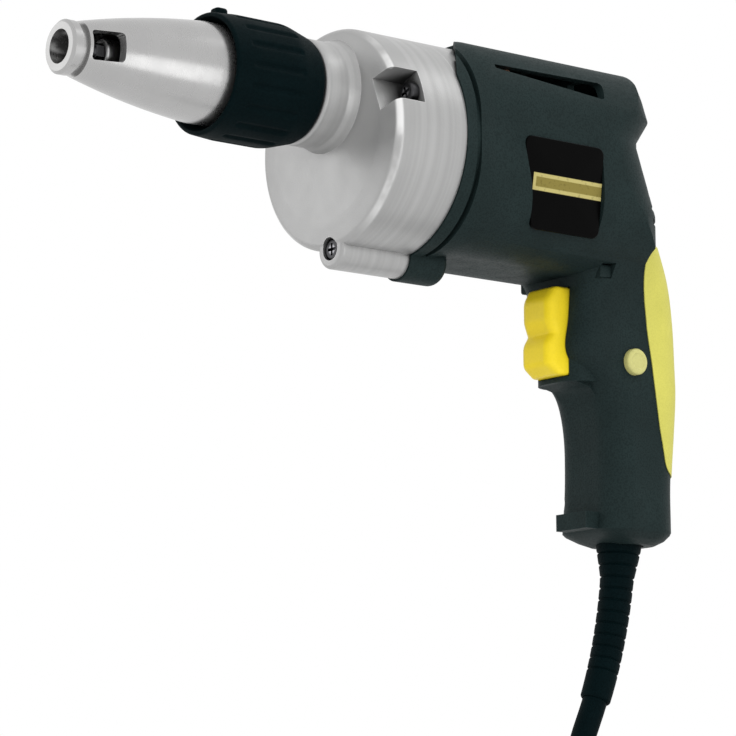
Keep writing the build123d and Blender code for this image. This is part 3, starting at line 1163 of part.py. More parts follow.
# Spindle group
NODES["gear_case"] = make_gear_case()
low_screw = case_screw(LOW_SEAT_X, MOTOR_Z - LOW_SCREW_RADIUS)
side_screw = case_screw(SIDE_SEAT_X, MOTOR_Z + SIDE_SCREW_RADIUS)
NODES["case_screws"] = [low_screw] + [turned_about_motor(side_screw, angle) for angle in SIDE_ANGLES]
NODES["bearing_plate"] = make_bearing_plate()
NODES["gear_bush"] = ring_x(GEAR_BUSH_R, GEAR_HUB_R + RUNNING, PLATE_REAR + 2 * END_GAP, PLATE_FRONT,
                            SPINDLE_Z)
NODES["drive_gear"] = make_drive_gear()
NODES["output_spindle"] = make_spindle()
NODES["clutch_spring"] = spring((GEAR_X1 + SPRING_WIRE / 2, 0, SPINDLE_Z), (1, 0, 0), JOURNAL_R + SPRING_WIRE,
                                FLANGE_REAR - GEAR_X1 - SPRING_WIRE, 4)
NODES["thrust_washer"] = ring_x(FLANGE_R, SPINDLE_R + SLIDING, FLANGE_FRONT, CAVITY_FRONT, SPINDLE_Z)
front_bush = STUB_X - SEAL_LEN - EPS
NODES["spindle_bushes"] = [ring_x(BUSH_R, SPINDLE_R + RUNNING, x, x + BUSH_LEN, SPINDLE_Z)
                           for x in (CAVITY_FRONT, front_bush - BUSH_LEN)]
NODES["spindle_seal"] = ring_x(BUSH_R, SPINDLE_R + RUNNING, front_bush, front_bush + SEAL_LEN, SPINDLE_Z)
NODES["bit_holder"] = make_bit_holder()
NODES["holder_ring"] = ring_x(HOLDER_R, HOLDER_R - HOLDER_RING_T, HOLDER_RING_X,
                              HOLDER_RING_X + HOLDER_RING_W,
                              SPINDLE_Z)
NODES["screw_bit"] = make_bit()
NODES["adjusting_collar"] = make_collar()
NODES["collar_clip"] = ring_x(CLIP_R, STUB_R - CLIP_GROOVE, CLIP_X, CLIP_X + CLIP_T, SPINDLE_Z)
NODES["collar_o_ring"] = ring_x(STUB_R, STUB_R - RING_GROOVE, DRAG_X, DRAG_X + RING_T, SPINDLE_Z)
NODES["depth_nose"] = make_nose()

# Motor group
NODES["motor_shaft"] = make_motor_shaft()
NODES["armature_core"] = make_core()
NODES["armature_windings"] = [winding_head(CORE_X - HEAD_LEN, CORE_X),
                              winding_head(CORE_X1, CORE_X1 + HEAD_LEN)]
NODES["commutator"] = make_commutator()
NODES["cooling_fan"] = make_fan()
front = bearing(FRONT_BEARING_X0, BEARING_W, BEARING_R, SHAFT_R)
rear = bearing(REAR_BEARING_X, REAR_BEARING_W, REAR_BEARING_R, REAR_SHAFT_R)
NODES["front_bearing_outer"], NODES["front_bearing_inner"] = front
NODES["rear_bearing_outer"], NODES["rear_bearing_inner"] = rear
NODES["bearing_boot"] = ring_x(REAR_BEARING_R + BOOT_T, REAR_BEARING_R, REAR_BEARING_X, REAR_BEARING_X1,
                               MOTOR_Z)
NODES["field_stack"] = make_field_stack()
NODES["field_coils"] = [make_field_coil(90), make_field_coil(270)]
baffle_x = CORE_X1 + COIL_HEAD - BAFFLE_T - LOOSE
baffle = extrude(barrel_section(baffle_x, WALL), amount=BAFFLE_T, dir=(1, 0, 0))
NODES["air_baffle"] = baffle - [along_x(FIELD_SLOT_R + LOOSE, baffle_x - EPS, baffle_x + BAFFLE_T + EPS,
                                        MOTOR_Z),
                                panel_prism(-LOOSE, -PANEL_BACK - LOOSE, BARREL_HALF)]
tube = block(BRUSH_X - HOLDER_HALF_X, BRUSH_X + HOLDER_HALF_X, HOLDER_Y0, HOLDER_OUT_Y,
             MOTOR_Z - HOLDER_HALF_Z, MOTOR_Z + HOLDER_HALF_Z)
tube -= block(BRUSH_X - BRUSH_W / 2, BRUSH_X + BRUSH_W / 2, HOLDER_Y0 - EPS, HOLDER_OUT_Y - HOLDER_WALL,
              MOTOR_Z - BRUSH_H / 2, MOTOR_Z + BRUSH_H / 2)
NODES["brush_holders"] = both_sides(tube)
brush_y = COMMUTATOR_R + SLIDING
brush = block(BRUSH_X - BRUSH_W / 2 + SLIDING, BRUSH_X + BRUSH_W / 2 - SLIDING, brush_y, brush_y + BRUSH_LEN,
              MOTOR_Z - BRUSH_H / 2 + SLIDING, MOTOR_Z + BRUSH_H / 2 - SLIDING)
NODES["carbon_brushes"] = both_sides(brush)
brush_spring = spring((BRUSH_X, brush_y + BRUSH_LEN + SPRING_WIRE / 2, MOTOR_Z), (0, 1, 0),
                      BRUSH_H / 2 - SPRING_WIRE,
                      HOLDER_OUT_Y - HOLDER_WALL - brush_y - BRUSH_LEN - SPRING_WIRE, 4)
NODES["brush_springs"] = both_sides(brush_spring)

# Housing group
NODES["left_housing"], NODES["right_housing"] = make_housing()
NODES["housing_screws"] = [machine_screw(-seat, bite, x, z) for x, z, seat, bite in SCREWS]
NODES["side_panel"] = panel_prism(SLIDING, 0.0, PANEL_T)
NODES["backstrap_grip"] = make_strap()

# Switch group
NODES["trigger"] = make_trigger()
NODES["switch_body"] = make_switch()
NODES["switch_plunger"] = along_x(PLUNGER_R, PLUNGER_REAR, TRIGGER_REAR + PLUNGER_GRIP, SWITCH_MIDDLE)
NODES["trigger_spring"] = spring((SWITCH_FRONT + SPRING_WIRE / 2, 0, SWITCH_MIDDLE), (1, 0, 0),
                                 TRIGGER_SPRING_R,
                                 TRIGGER_REAR + TRIGGER_POCKET_LEN - SWITCH_FRONT - SPRING_WIRE, 5)
NODES["lock_button"], lock_rear = make_lock_button()
NODES["lock_spring"] = spring((LOCK_X, SWITCH_HALF - LOCK_SEAT_DEPTH + SPRING_WIRE / 2, LOCK_SPRING_Z),
                              (0, 1, 0),
                              LOCK_SPRING_R, lock_rear - SWITCH_HALF + LOCK_SEAT_DEPTH - SPRING_WIRE, 4)
NODES["reversing_bar"] = make_reversing_bar()

# Cord group
route = cord_path([(x, 0.0, z) for x, z in CORD_ROUTE])
NODES["mains_cord"] = tube_along(route, CORD_R)
NODES["cord_guard"] = make_guard(route)
NODES["cord_coil"], coil_end = make_coil()
tail_end = coil_end + Vector(0, 0, -TAIL_LEN)
NODES["cord_tail"] = along_z(CORD_R, tail_end.Z, coil_end.Z, coil_end.X, coil_end.Y)
NODES["coil_tie"] = make_tie()
NODES["plug_body"], NODES["plug_pins"] = make_plug(tail_end)
clamp = block(-CLAMP_HALF, CLAMP_HALF, EPS, CORD_R + CLAMP_T, CLAMP_Z - CLAMP_H / 2, CLAMP_Z + CLAMP_H / 2)
clamp -= along_z(CORD_R + SLIDING, CLAMP_Z - CLAMP_H, CLAMP_Z + CLAMP_H, CORD_ROUTE[1][0] / 2)
clamp_sides = (CLAMP_SCREW_X, -CLAMP_SCREW_X)
clamp -= [along_y(SCREW_R + SLIDING, 0, BARREL_HALF, x, CLAMP_Z) for x in clamp_sides]
NODES["cord_clamp"] = clamp
NODES["clamp_screws"] = [machine_screw(CORD_R + CLAMP_T, -CLAMP_BITE, x, CLAMP_Z) for x in clamp_sides]
cord_top = CORD_ROUTE[0][1] + RUNNING
supply = lead([(1.0, 2.0, cord_top), (1.0, 2.0, -6.0), (3.0, 4.5, 2.0), (3.0, 4.5, SWITCH_LOW)])
feed = lead([(10.0, 4.5, SWITCH_HIGH), (10.0, 4.5, 46.0), (BRUSH_X, 20.0, 63.0),
             (BRUSH_X, 20.0, MOTOR_Z - HOLDER_HALF_Z)])
NODES["inner_leads"] = both_sides(supply) + both_sides(feed)

os.makedirs("parts", exist_ok=True)
for name, shape in NODES.items():
    solids = shape if isinstance(shape, list) else [shape]
    export_step(Compound(children=[s for piece in solids for s in piece.solids()]), f"parts/{name}.step")
print(len(NODES), "nodes")
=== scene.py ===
"""Looks of a corded drywall screwdriver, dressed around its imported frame.

Sizes are millimetres unless a name or a note says metres, and meshes are written in metres.
The nose points along +X, the operator's left is +Y, up is +Z, and the origin is the middle of the grip.
"""
import json
import logging
from dataclasses import dataclass
from enum import Enum
from functools import cached_property
from math import cos, pi, radians, sin
from typing import Any, Iterable, Sequence, Union

import bmesh
import bpy
import numpy as np
from mathutils import Matrix, Vector


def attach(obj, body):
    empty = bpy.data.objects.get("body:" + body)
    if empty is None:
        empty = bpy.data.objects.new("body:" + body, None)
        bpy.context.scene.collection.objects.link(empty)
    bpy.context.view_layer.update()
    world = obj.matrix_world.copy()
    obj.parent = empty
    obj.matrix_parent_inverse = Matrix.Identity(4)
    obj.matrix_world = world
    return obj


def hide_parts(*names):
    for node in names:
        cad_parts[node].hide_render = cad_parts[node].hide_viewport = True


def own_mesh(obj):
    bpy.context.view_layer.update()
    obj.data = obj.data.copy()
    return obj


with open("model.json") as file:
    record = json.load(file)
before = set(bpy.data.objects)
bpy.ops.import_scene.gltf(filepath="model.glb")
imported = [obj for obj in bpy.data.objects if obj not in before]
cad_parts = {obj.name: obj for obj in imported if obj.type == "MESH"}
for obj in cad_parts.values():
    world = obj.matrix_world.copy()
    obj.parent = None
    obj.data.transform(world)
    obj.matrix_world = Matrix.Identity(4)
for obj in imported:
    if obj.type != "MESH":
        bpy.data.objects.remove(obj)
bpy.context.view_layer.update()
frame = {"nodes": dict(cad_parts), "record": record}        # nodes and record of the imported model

LOG = logging.getLogger("screwdriver")
MM = 0.001                     # metres in a millimetre
TURN = 2 * pi
MOTOR_Z = 80.0                 # height of the motor's axis
SPINDLE_Z = 94.7               # height of the spindle's axis
X_AXIS, Y_AXIS, Z_AXIS = np.eye(3)
WELD = 1e-6                    # metres within which points are one

Points = np.ndarray
Pair = tuple[float, float]
Triple = tuple[float, float, float]
Colour = Triple
Term = Union["Wire", float]


# Shader wiring
class Wire:
    """A shader socket that takes part in sums; every operator adds the node that it stands for."""

    def __init__(self, board: "Board", socket: bpy.types.NodeSocket) -> None:
        """Keep the socket and the board that it is on."""
        self.board = board
        self.socket = socket

    def __add__(self, other: Term) -> "Wire":
        """Sum."""
        return self.board.maths("ADD", self, other)

    def __radd__(self, other: Term) -> "Wire":
        """Sum with the wire on the right."""
        return self.board.maths("ADD", other, self)

    def __sub__(self, other: Term) -> "Wire":
        """Difference."""
        return self.board.maths("SUBTRACT", self, other)

    def __rsub__(self, other: Term) -> "Wire":
        """Difference with the wire on the right."""
        return self.board.maths("SUBTRACT", other, self)

    def __mul__(self, other: Term) -> "Wire":
        """Product."""
        return self.board.maths("MULTIPLY", self, other)

    def __rmul__(self, other: Term) -> "Wire":
        """Product with the wire on the right."""
        return self.board.maths("MULTIPLY", other, self)


class Board:
    """Node tree of a material or of the world."""

    EDGE_TURN = (0.01, 0.25)      # 1 - cosine of the normal's turn, from no edge to a full one
    DEEP = 0.75                   # walled-in share from which the painted shade in a corner is darkest

    def __init__(self, owner: bpy.types.Material | bpy.types.World) -> None:
        """Empty the owner's node tree.

        Args:
            owner: the material or world.
        """
        owner.use_nodes = True
        self.owner = owner
        self.tree = owner.node_tree
        self.tree.nodes.clear()

    @classmethod
    def named(cls, name: str) -> "Board":
        """Board of a new material."""
        return cls(bpy.data.materials.new(name))

    @cached_property
    def place(self) -> Wire:
        """Object coordinates in metres."""
        return self.node("ShaderNodeTexCoord", output="Object")

    def node(self, kind: str, settings: dict[str, Any] | None = None,
             inputs: dict[str | int, Any] | None = None, output: str | int = 0) -> Wire:
        """Add a node.

        Args:
            kind: Blender's name of the node type.
            settings: properties that are set first; "stops" are a ramp's (position, colour) pairs in order.
            inputs: values or wires by socket name or number.
            output: the socket that is handed back.

        Returns:
            The output as a wire.
        """
        made = self.tree.nodes.new(kind)
        for key, value in (settings or {}).items():
            if key == "stops":
                self.set_stops(made.color_ramp.elements, value)
            else:
                setattr(made, key, value)
        for key, value in (inputs or {}).items():
            if isinstance(value, Wire):
                self.tree.links.new(value.socket, made.inputs[key])
            else:
                made.inputs[key].default_value = value
        return Wire(self, made.outputs[output])

    @staticmethod
    def set_stops(elements: bpy.types.ColorRampElements, stops: Sequence[tuple[float, Colour]]) -> None:
        """Give a new ramp its stops.

        Args:
            elements: the ramp's own stops, two to begin with.
            stops: two or more (position, colour) pairs in order.
        """
        for _ in stops[2:]:
            elements.new(1.0)
        for element, (position, colour) in zip(elements, stops):
            element.position = position
            element.color = (*colour, 1.0)

    def maths(self, operation: str, a: Term, b: Term = 0.0) -> Wire:
        """Arithmetic on two values."""
        return self.node("ShaderNodeMath", {"operation": operation}, {0: a, 1: b})

    def mix(self, factor: Term, a: Wire | Colour, b: Wire | Colour) -> Wire:
        """Blend two colours.

        Args:
            factor: share of the second colour.
            a: first colour.
            b: second colour.

        Returns:
            The blended colour.
        """
        pair = [c if isinstance(c, Wire) else (*c, 1.0) for c in (a, b)]
        return self.node("ShaderNodeMix", {"data_type": "RGBA"}, {0: factor, 6: pair[0], 7: pair[1]}, 2)

    def noise(self, size: float, detail: float = 2.0, stretch: Triple = (1.0, 1.0, 1.0)) -> Wire:
        """Cloudy value about 0.5.

        Args:
            size: size of its clouds in millimetres.
            detail: how many finer layers it has.
            stretch: how much shorter its clouds are along X, Y and Z.

        Returns:
            The value.
        """
        place = self.node("ShaderNodeMapping", {"vector_type": "POINT"},
                          {"Vector": self.place, "Scale": stretch})
        return self.node("ShaderNodeTexNoise", {},
                         {"Vector": place, "Scale": 1 / (size * MM), "Detail": detail})

    def axis(self, name: str) -> Wire:
        """One Object coordinate in millimetres."""
        return self.node("ShaderNodeSeparateXYZ", {}, {0: self.place}, name) * (1 / MM)

    def from_axis(self, y: float, z: float) -> Wire:
        """Distance from an axis along X in millimetres: the root of the sum of both squared offsets."""
        off_y, off_z = self.axis("Y") - y, self.axis("Z") - z
        return self.maths("SQRT", off_y * off_y + off_z * off_z)

    def rise(self, value: Term, low: float, high: float) -> Wire:
        """Smooth step from 0 at low to 1 at high."""
        return self.node("ShaderNodeMapRange", {"interpolation_type": "SMOOTHSTEP"},
                         {"Value": value, "From Min": low, "From Max": high})

    def between(self, value: Wire, low: float, high: float, soft: float) -> Wire:
        """1 from low to high and 0 outside, with soft ends."""
        return self.rise(value, low - soft, low + soft) * (1 - self.rise(value, high - soft, high + soft))

    def edges(self, radius: float) -> Wire:
        """Mask of the outer and inner edges: how far the rounded normal turns from the true one.

        Args:
            radius: half width of the mask in millimetres.

        Returns:
            1 on a square edge, 0 on a flat.
        """
        rounded = self.node("ShaderNodeBevel", {"samples": 4}, {"Radius": radius * MM})
        true = self.node("ShaderNodeNewGeometry", output="Normal")
        same = self.node("ShaderNodeVectorMath", {"operation": "DOT_PRODUCT"}, {0: rounded, 1: true}, "Value")
        return self.rise(1 - same, *self.EDGE_TURN)

    def crevice(self, reach: float, start: float = 0.15) -> Wire:
        """Mask of painted shade: 1 deep in a corner whose walls are within reach, 0 where less than the start share
        is walled in.
        """
        hidden = 1 - self.node("ShaderNodeAmbientOcclusion", {"samples": 8}, {"Distance": reach * MM}, "AO")
        return self.rise(hidden, start, self.DEEP)

    def bump(self, height: Wire, relief: float) -> Wire:
        """Normal of a height map whose full range is the relief in millimetres."""
        return self.node("ShaderNodeBump", {}, {"Strength": 1.0, "Distance": relief * MM, "Height": height})

    def close(self, kind: str, surface: Wire) -> None:
        """Lead a shader to the tree's output node of a kind."""
        self.tree.links.new(surface.socket, self.tree.nodes.new(kind).inputs["Surface"])

    def shade(self, inputs: dict[str, Any]) -> bpy.types.Material:
        """Close the board with one surface shader.

        Args:
            inputs: values or wires of the shader's sockets.

        Returns:
            The finished material.
        """
        self.close("ShaderNodeOutputMaterial", self.node("ShaderNodeBsdfPrincipled", {}, inputs))
        return self.owner


# Finishes
def scaled(colour: Colour, factor: float) -> Colour:
    """Colour made lighter or darker."""
    return tuple(min(c * factor, 1.0) for c in colour)


@dataclass(frozen=True)
class Polymer:
    """Moulded plastic or rubber: cloudy tone, mould grain, pale edges from wear and painted highlight, and painted
    shade in corners.
    """

    CLOUD = (14.0, 4.0)           # noises as size and detail: of the tone, of the pale edges and of the gloss
    WEAR_AND_HIGHLIGHT_NOISE = (4.0, 3.0)
    GLOSS = (6.0, 4.0)
    STOPS = (0.3, 0.55, 0.75)     # places of the dark, true and light tone on the cloud's ramp

    name: str
    colour: Colour
    roughness: float
    specular: float = 0.3
    grain: float = 0.7            # size of the mould texture
    relief: float = 0.02          # depth of the mould texture
    mottle: float = 0.12          # share by which the tone varies
    wear_and_highlight: float = 0.25             # how far edges turn pale: wear, and a painted highlight on the yellow plastic
    painted_shade: float = 0.3             # how far painted shade darkens deep corners
    reach: float = 3.0            # how near a wall must be for painted shade in a corner
    pits: float = 0.3             # how far the pits of the mould texture darken
    pit_heights: Pair = (0.36, 0.56)                # heights in the texture between which a pit ends
    pit_tone: float = 0.5         # tones of pits, pale edges and painted shade in corners, as shares of the colour
    wear_and_highlight_tone: float = 2.2
    painted_shade_tone: float = 0.2
    wear_and_highlight_width: float = 0.5        # half width of the pale edges
    gloss_spread: float = 0.16    # how much the roughness varies
    pit_roughness: float = 0.08   # how much rougher the pits are

    def material(self) -> bpy.types.Material:
        """Make the material.

        Returns:
            The material.
        """
        board = Board.named(self.name)
        grain = board.noise(self.grain, 1.0)
        dark, light = (scaled(self.colour, 1 + sign * self.mottle) for sign in (-1, 1))
        stops = tuple(zip(self.STOPS, (dark, self.colour, light)))
        tone = board.node("ShaderNodeValToRGB", {"stops": stops}, {0: board.noise(*self.CLOUD)})
        pitted = 1 - board.rise(grain, *self.pit_heights)
        tone = board.mix(pitted * self.pits, tone, scaled(self.colour, self.pit_tone))
        # pale edges: wear, and on the yellow plastic a painted highlight
        rubbed = board.edges(self.wear_and_highlight_width) * board.noise(*self.WEAR_AND_HIGHLIGHT_NOISE) * (2 * self.wear_and_highlight)
        tone = board.mix(rubbed, tone, scaled(self.colour, self.wear_and_highlight_tone))
        # painted shade: darker where walls are near, in corners and creases
        tone = board.mix(board.crevice(self.reach) * self.painted_shade, tone, scaled(self.colour, self.painted_shade_tone))
        rough = self.roughness + self.gloss_spread * (board.noise(*self.GLOSS) - 0.5)
        return board.shade({"Base Color": tone, "Roughness": rough + self.pit_roughness * pitted,
                            "Specular IOR Level": self.specular, "Normal": board.bump(grain, self.relief)})


class Marks(Enum):
    """Tool marks on a metal, each with its noise: size in grains, detail, and stretch along X, Y and Z."""

    GRAIN = (1.0, 3.0, (1.0, 1.0, 1.0))             # blasted or cast grain
    RINGS = (40.0, 4.0, (40.0, 0.4, 0.4))           # fine turning rings about X
    SHEETS = (40.0, 0.0, (40.0, 0.05, 0.05))        # edges of stacked sheets along X


@dataclass(frozen=True)
class RimHighlight:
    """Painted highlight on the rounded front edge of a part that is turned about an axis along X."""

    MIDDLE = (0.3, 0.6)           # shares of the rounding between which the painted highlight sets in
    FLANK = (0.3, 0.9)            # shares of the radius sideways between which it sets in
    BEYOND = (0.2, 0.8)           # how far outside the part it ends

    z: float                      # height of the axis
    radius: float
    front: float
    rounding: float

    def rubbed(self, board: Board) -> Wire:
        """Mask of the painted highlight along the edge.

        A point of the rounding lies outside its middle by r cos t and ahead of it by r sin t, and the lesser
        of the two is greatest half way round. The painted highlight fades towards the top and the bottom.

        Args:
            board: the material's nodes.

        Returns:
            1 half way round the rounding on both flanks, 0 at both its ends and away from it.
        """
        outside = board.from_axis(0.0, self.z) - (self.radius - self.rounding)
        ahead = board.axis("X") - (self.front - self.rounding)
        lesser = board.maths("MINIMUM", outside, ahead)
        middle = board.rise(lesser, *(share * self.rounding for share in self.MIDDLE))
        sideways = board.maths("ABSOLUTE", board.axis("Y"))
        flank = board.rise(sideways, *(share * self.radius for share in self.FLANK))
        return middle * flank * (1 - board.rise(outside, *(self.rounding + by for by in self.BEYOND)))


@dataclass(frozen=True)
class Metal:
    """Bare metal: cloudy tone, tool marks, bright edges from wear and painted highlight, a painted highlight along
    a rim, and painted shade in the corners.
    """

    # Noises as size and detail: of the tone, of worn and highlighted edges, of the painted highlight along a rim,
    # of the gloss and of turned streaks.
    CLOUD = (11.0, 4.0)
    WEAR_AND_HIGHLIGHT_NOISE = (3.0, 3.0)
    HIGHLIGHT_PATCHES = (14.0, 3.0)
    GLOSS = (7.0, 4.0)
    STREAK = (100.0, 3.0, (40.0, 0.4, 0.4))         # with its stretch
    HIGHLIGHT_PATCH_RISE = (0.2, 0.6)       # values between which a patch of the painted rim highlight and a streak set in
    STREAK_RISE = (0.3, 0.7)

    name: str
    colour: Colour
    roughness: float
    metallic: float = 1.0
    marks: Marks = Marks.GRAIN
    grain: float = 0.5            # size of the marks
    relief: float = 0.01          # depth of the marks
    mottle: float = 0.08          # share by which the tone varies
    streaks: float = 0.0          # share of broad turned streaks in the tone
    painted_corner_shade: float = 0.5            # how far painted shade darkens deep corners
    reach: float = 6.0            # how near a wall must be for painted shade in a corner
    start: float = 0.15           # walled-in share from which painted shade sets in
    wear_and_highlight_shine: float = 1.25           # tone of the bright places (wear and painted highlight) and of the painted shade in corners, as shares of the colour
    painted_corner_shade_tone: float = 0.1
    edge_wear_and_highlight_width: float = 0.4             # half width of the bright edges, worn and with a painted highlight
    edge_wear_and_highlight: float = 0.8        # how far edges are brightened by wear and painted highlight, and how strong the painted highlight along a rim is
    rim_highlight: float = 0.85
    bright_discs: tuple[Pair, ...] = ()   # (y, z) of axes along X round which the tone is lighter
    bright_disc_radius: float = 1.6
    bright_disc_fade: float = 0.5
    rim: RimHighlight | None = None        # a rounded edge with a painted highlight on its flanks
    marks_share: float = 0.3      # share of the marks in the tone
    gloss_spread: float = 0.2     # how much the roughness varies, and how much with the marks
    marks_gloss: float = 0.08

    def pattern(self, board: Board) -> Wire:
        """Height map of the tool marks, between 0 and 1."""
        size, detail, stretch = self.marks.value
        return board.noise(size * self.grain, detail, stretch)

    def rubbed(self, board: Board) -> list[Wire]:
        """Masks of the places where the metal is made bright: by wear, and by painted highlight.

        Args:
            board: the material's nodes.

        Returns:
            The edges' mask (wear and painted highlight), then those of the lighter discs and of the painted rim
            highlight.
        """
        masks = [board.edges(self.edge_wear_and_highlight_width) * board.noise(*self.WEAR_AND_HIGHLIGHT_NOISE) * self.edge_wear_and_highlight]
        inner, outer = self.bright_disc_radius - self.bright_disc_fade, self.bright_disc_radius + self.bright_disc_fade
        masks += [1 - board.rise(board.from_axis(*axis), inner, outer) for axis in self.bright_discs]
        if self.rim:
            highlight_patches = board.rise(board.noise(*self.HIGHLIGHT_PATCHES), *self.HIGHLIGHT_PATCH_RISE)
            masks.append(self.rim.rubbed(board) * highlight_patches * self.rim_highlight)
        return masks

    def material(self) -> bpy.types.Material:
        """Make the material.

        Returns:
            The material.
        """
        board = Board.named(self.name)
        marks = self.pattern(board)
        cloud = board.noise(*self.CLOUD) * (1 - self.marks_share) + marks * self.marks_share
        if self.streaks:
            streak = board.rise(board.noise(*self.STREAK), *self.STREAK_RISE)
            cloud = cloud * (1 - self.streaks) + streak * self.streaks
        tone = board.mix(cloud, scaled(self.colour, 1 - self.mottle), scaled(self.colour, 1 + self.mottle))
        # bright places: worn edges that also carry a painted highlight, lighter discs, and a painted rim highlight
        for mask in self.rubbed(board):
            tone = board.mix(mask, tone, scaled(self.colour, self.wear_and_highlight_shine))
        # painted shade in corners, recesses and under parts
        painted_shade_mask = board.crevice(self.reach, self.start) * self.painted_corner_shade
        tone = board.mix(painted_shade_mask, tone, scaled(self.colour, self.painted_corner_shade_tone))
        rough = self.roughness + self.gloss_spread * (board.noise(*self.GLOSS) - 0.5)
        rough = rough + self.marks_gloss * (marks - 0.5)
        return board.shade({"Base Color": tone, "Metallic": self.metallic, "Roughness": rough,
                            "Normal": board.bump(marks, self.relief)})


@dataclass(frozen=True)
class BandedPlate:
    """Black plate with a plain framed band printed across it."""

    GLOSS = (5.0, 5.0)            # noises as size and detail: of the gloss, of the waves and of rubbed specks
    WAVES = (8.0, 1.0)
    SPECKS = (1.2, 4.0)
    SPECK_RISE = (0.55, 0.7)      # values between which a speck sets in

    name: str
    colour: Colour = (0.0015, 0.0015, 0.0015)
    ink: Colour = (0.48, 0.42, 0.16)
    field: Colour = (0.23, 0.19, 0.05)
    band_x: Pair = (38.0, 71.5)
    band_z: Pair = (64.4, 70.4)
    frame: float = 1.3            # width of the band's lighter frame
    bleed: float = 0.15           # softness of the print's edges
    roughness: float = 0.22       # of the smoothest spots
    gloss_spread: float = 0.16    # how much the roughness varies
    print_roughness: float = 0.1  # how much rougher the print is
    specular: float = 0.03
    relief: float = 0.006         # depth of the plate's slight waves
    loss: float = 0.25            # how far rubbed specks lose their ink

    def material(self) -> bpy.types.Material:
        """Make the material.

        Returns:
            The material.
        """
        board = Board.named(self.name)
        band = self.box(board, 0.0)
        tone = board.mix(self.box(board, self.frame), self.ink, self.field)
        tone = board.mix(band * self.rubbed(board), self.colour, tone)
        rough = self.roughness + self.gloss_spread * board.noise(*self.GLOSS) + self.print_roughness * band
        return board.shade({"Base Color": tone, "Roughness": rough, "Specular IOR Level": self.specular,
                            "Normal": board.bump(board.noise(*self.WAVES), self.relief)})

    def box(self, board: Board, inset: float) -> Wire:
        """Mask of the band.

        Args:
            board: the material's nodes.
            inset: how far inside the band's outline the mask ends.

        Returns:
            1 inside, 0 outside.
        """
        across, up = (board.between(board.axis(name), low + inset, high - inset, self.bleed)
                      for name, (low, high) in (("X", self.band_x), ("Z", self.band_z)))
        return across * up

    def rubbed(self, board: Board) -> Wire:
        """Share of the ink that is left: a little is rubbed off in specks."""
        return 1 - self.loss * board.rise(board.noise(*self.SPECKS), *self.SPECK_RISE)


FINISHES: dict[str, Polymer | Metal | BandedPlate] = {finish.name: finish for finish in (
    # cast_alloy: bright edges partly a painted highlight, a painted highlight along the case's front rim, painted
    # shade in the pocket and under the neck
    Metal("cast_alloy", (0.38, 0.38, 0.378), 0.36, 0.52, grain=0.5, relief=0.05, mottle=0.13, streaks=0.55,
          wear_and_highlight_shine=2.2, edge_wear_and_highlight_width=0.6, painted_corner_shade=1.0, reach=12.0, start=0.28, rim=RimHighlight(MOTOR_Z, 38.7, 132.9, 3.0)),
    # turned_alloy: painted shade inside the nose and where it meets the collar
    Metal("turned_alloy", (0.43, 0.428, 0.426), 0.28, 0.92, Marks.RINGS, 0.25, 0.003, wear_and_highlight_shine=1.4,
          painted_corner_shade=0.4, reach=12.0, start=0.3),
    Polymer("black_plastic", (0.013, 0.023, 0.023), 0.50, 0.07, 0.6, 0.05, pits=0.5),
    Polymer("black_rubber", (0.0012, 0.0055, 0.0065), 0.55, 0.03, 0.6, 0.04, pits=0.5),
    Polymer("yellow_rubber", (0.60, 0.57, 0.115), 0.55, 0.2, 0.5, 0.04, 0.05, 0.12, 0.7, pits=0.12),
    # yellow_plastic: pale trigger edges are partly a painted highlight, and its creases get painted shade
    Polymer("yellow_plastic", (0.86, 0.66, 0.018), 0.38, 0.25, 0.8, 0.015, 0.05, 0.5, 0.9, 7.0, pits=0.06),
    Polymer("pale_plastic", (0.54, 0.52, 0.19), 0.38, 0.3, 0.8, 0.015, 0.04, 0.1, pits=0.06),
    BandedPlate("panel_film"),
    Metal("steel", (0.50, 0.50, 0.50), 0.30, 1.0, Marks.RINGS, 0.2, 0.004, painted_corner_shade=0.1),
    # dark_steel: lighter discs in the middles of the screw heads, and edges partly a painted highlight
    Metal("dark_steel", (0.06, 0.06, 0.063), 0.38, 1.0, grain=0.3, relief=0.008, wear_and_highlight_shine=7.0,
          bright_discs=((0.0, 41.5), (31.5, 91.5), (-31.5, 91.5))),
    Metal("lamination", (0.35, 0.35, 0.36), 0.45, 1.0, Marks.SHEETS, 0.5, 0.05),
    Metal("copper", (0.42, 0.21, 0.11), 0.4, 1.0, Marks.SHEETS, 0.4, 0.05),
    Metal("bronze", (0.62, 0.48, 0.30), 0.42, 1.0),
    Polymer("insulation", (0.32, 0.16, 0.10), 0.45),
    Polymer("carbon", (0.04, 0.04, 0.043), 0.6),
    Polymer("lead_sleeve", (0.16, 0.20, 0.42), 0.5),
)}


# Surfaces
def smooth_rise(low: float, high: float, value: Points) -> Points:
    """Smooth step: 3t^2 - 2t^3 of the share t of the way from low to high, held at 0 and 1 outside."""
    share = np.clip((value - low) / (high - low), 0.0, 1.0)
    return share * share * (3.0 - 2.0 * share)


def window(value: Points, rise: Pair, fall: Pair) -> Points:
    """Smooth step up over one stretch and down over another."""
    return smooth_rise(*rise, value) * (1 - smooth_rise(*fall, value))


def around(count: int) -> Points:
    """Angles of a full turn in even steps."""
    return np.linspace(0.0, TURN, count, endpoint=False)


def signed_power(value: Points, power: float) -> Points:
    """Power of a value's size, with its sign kept."""
    return np.sign(value) * np.abs(value) ** power


def unit(vectors: Points) -> Points:
    """Vectors made one long."""
    return vectors / np.linalg.norm(vectors, axis=1, keepdims=True)


def lifted(flat: Points, height: Points) -> Points:
    """Grid of flat points with their height as the third coordinate."""
    return np.concatenate([flat, np.broadcast_to(height, flat.shape[:2])[..., None]], axis=-1)


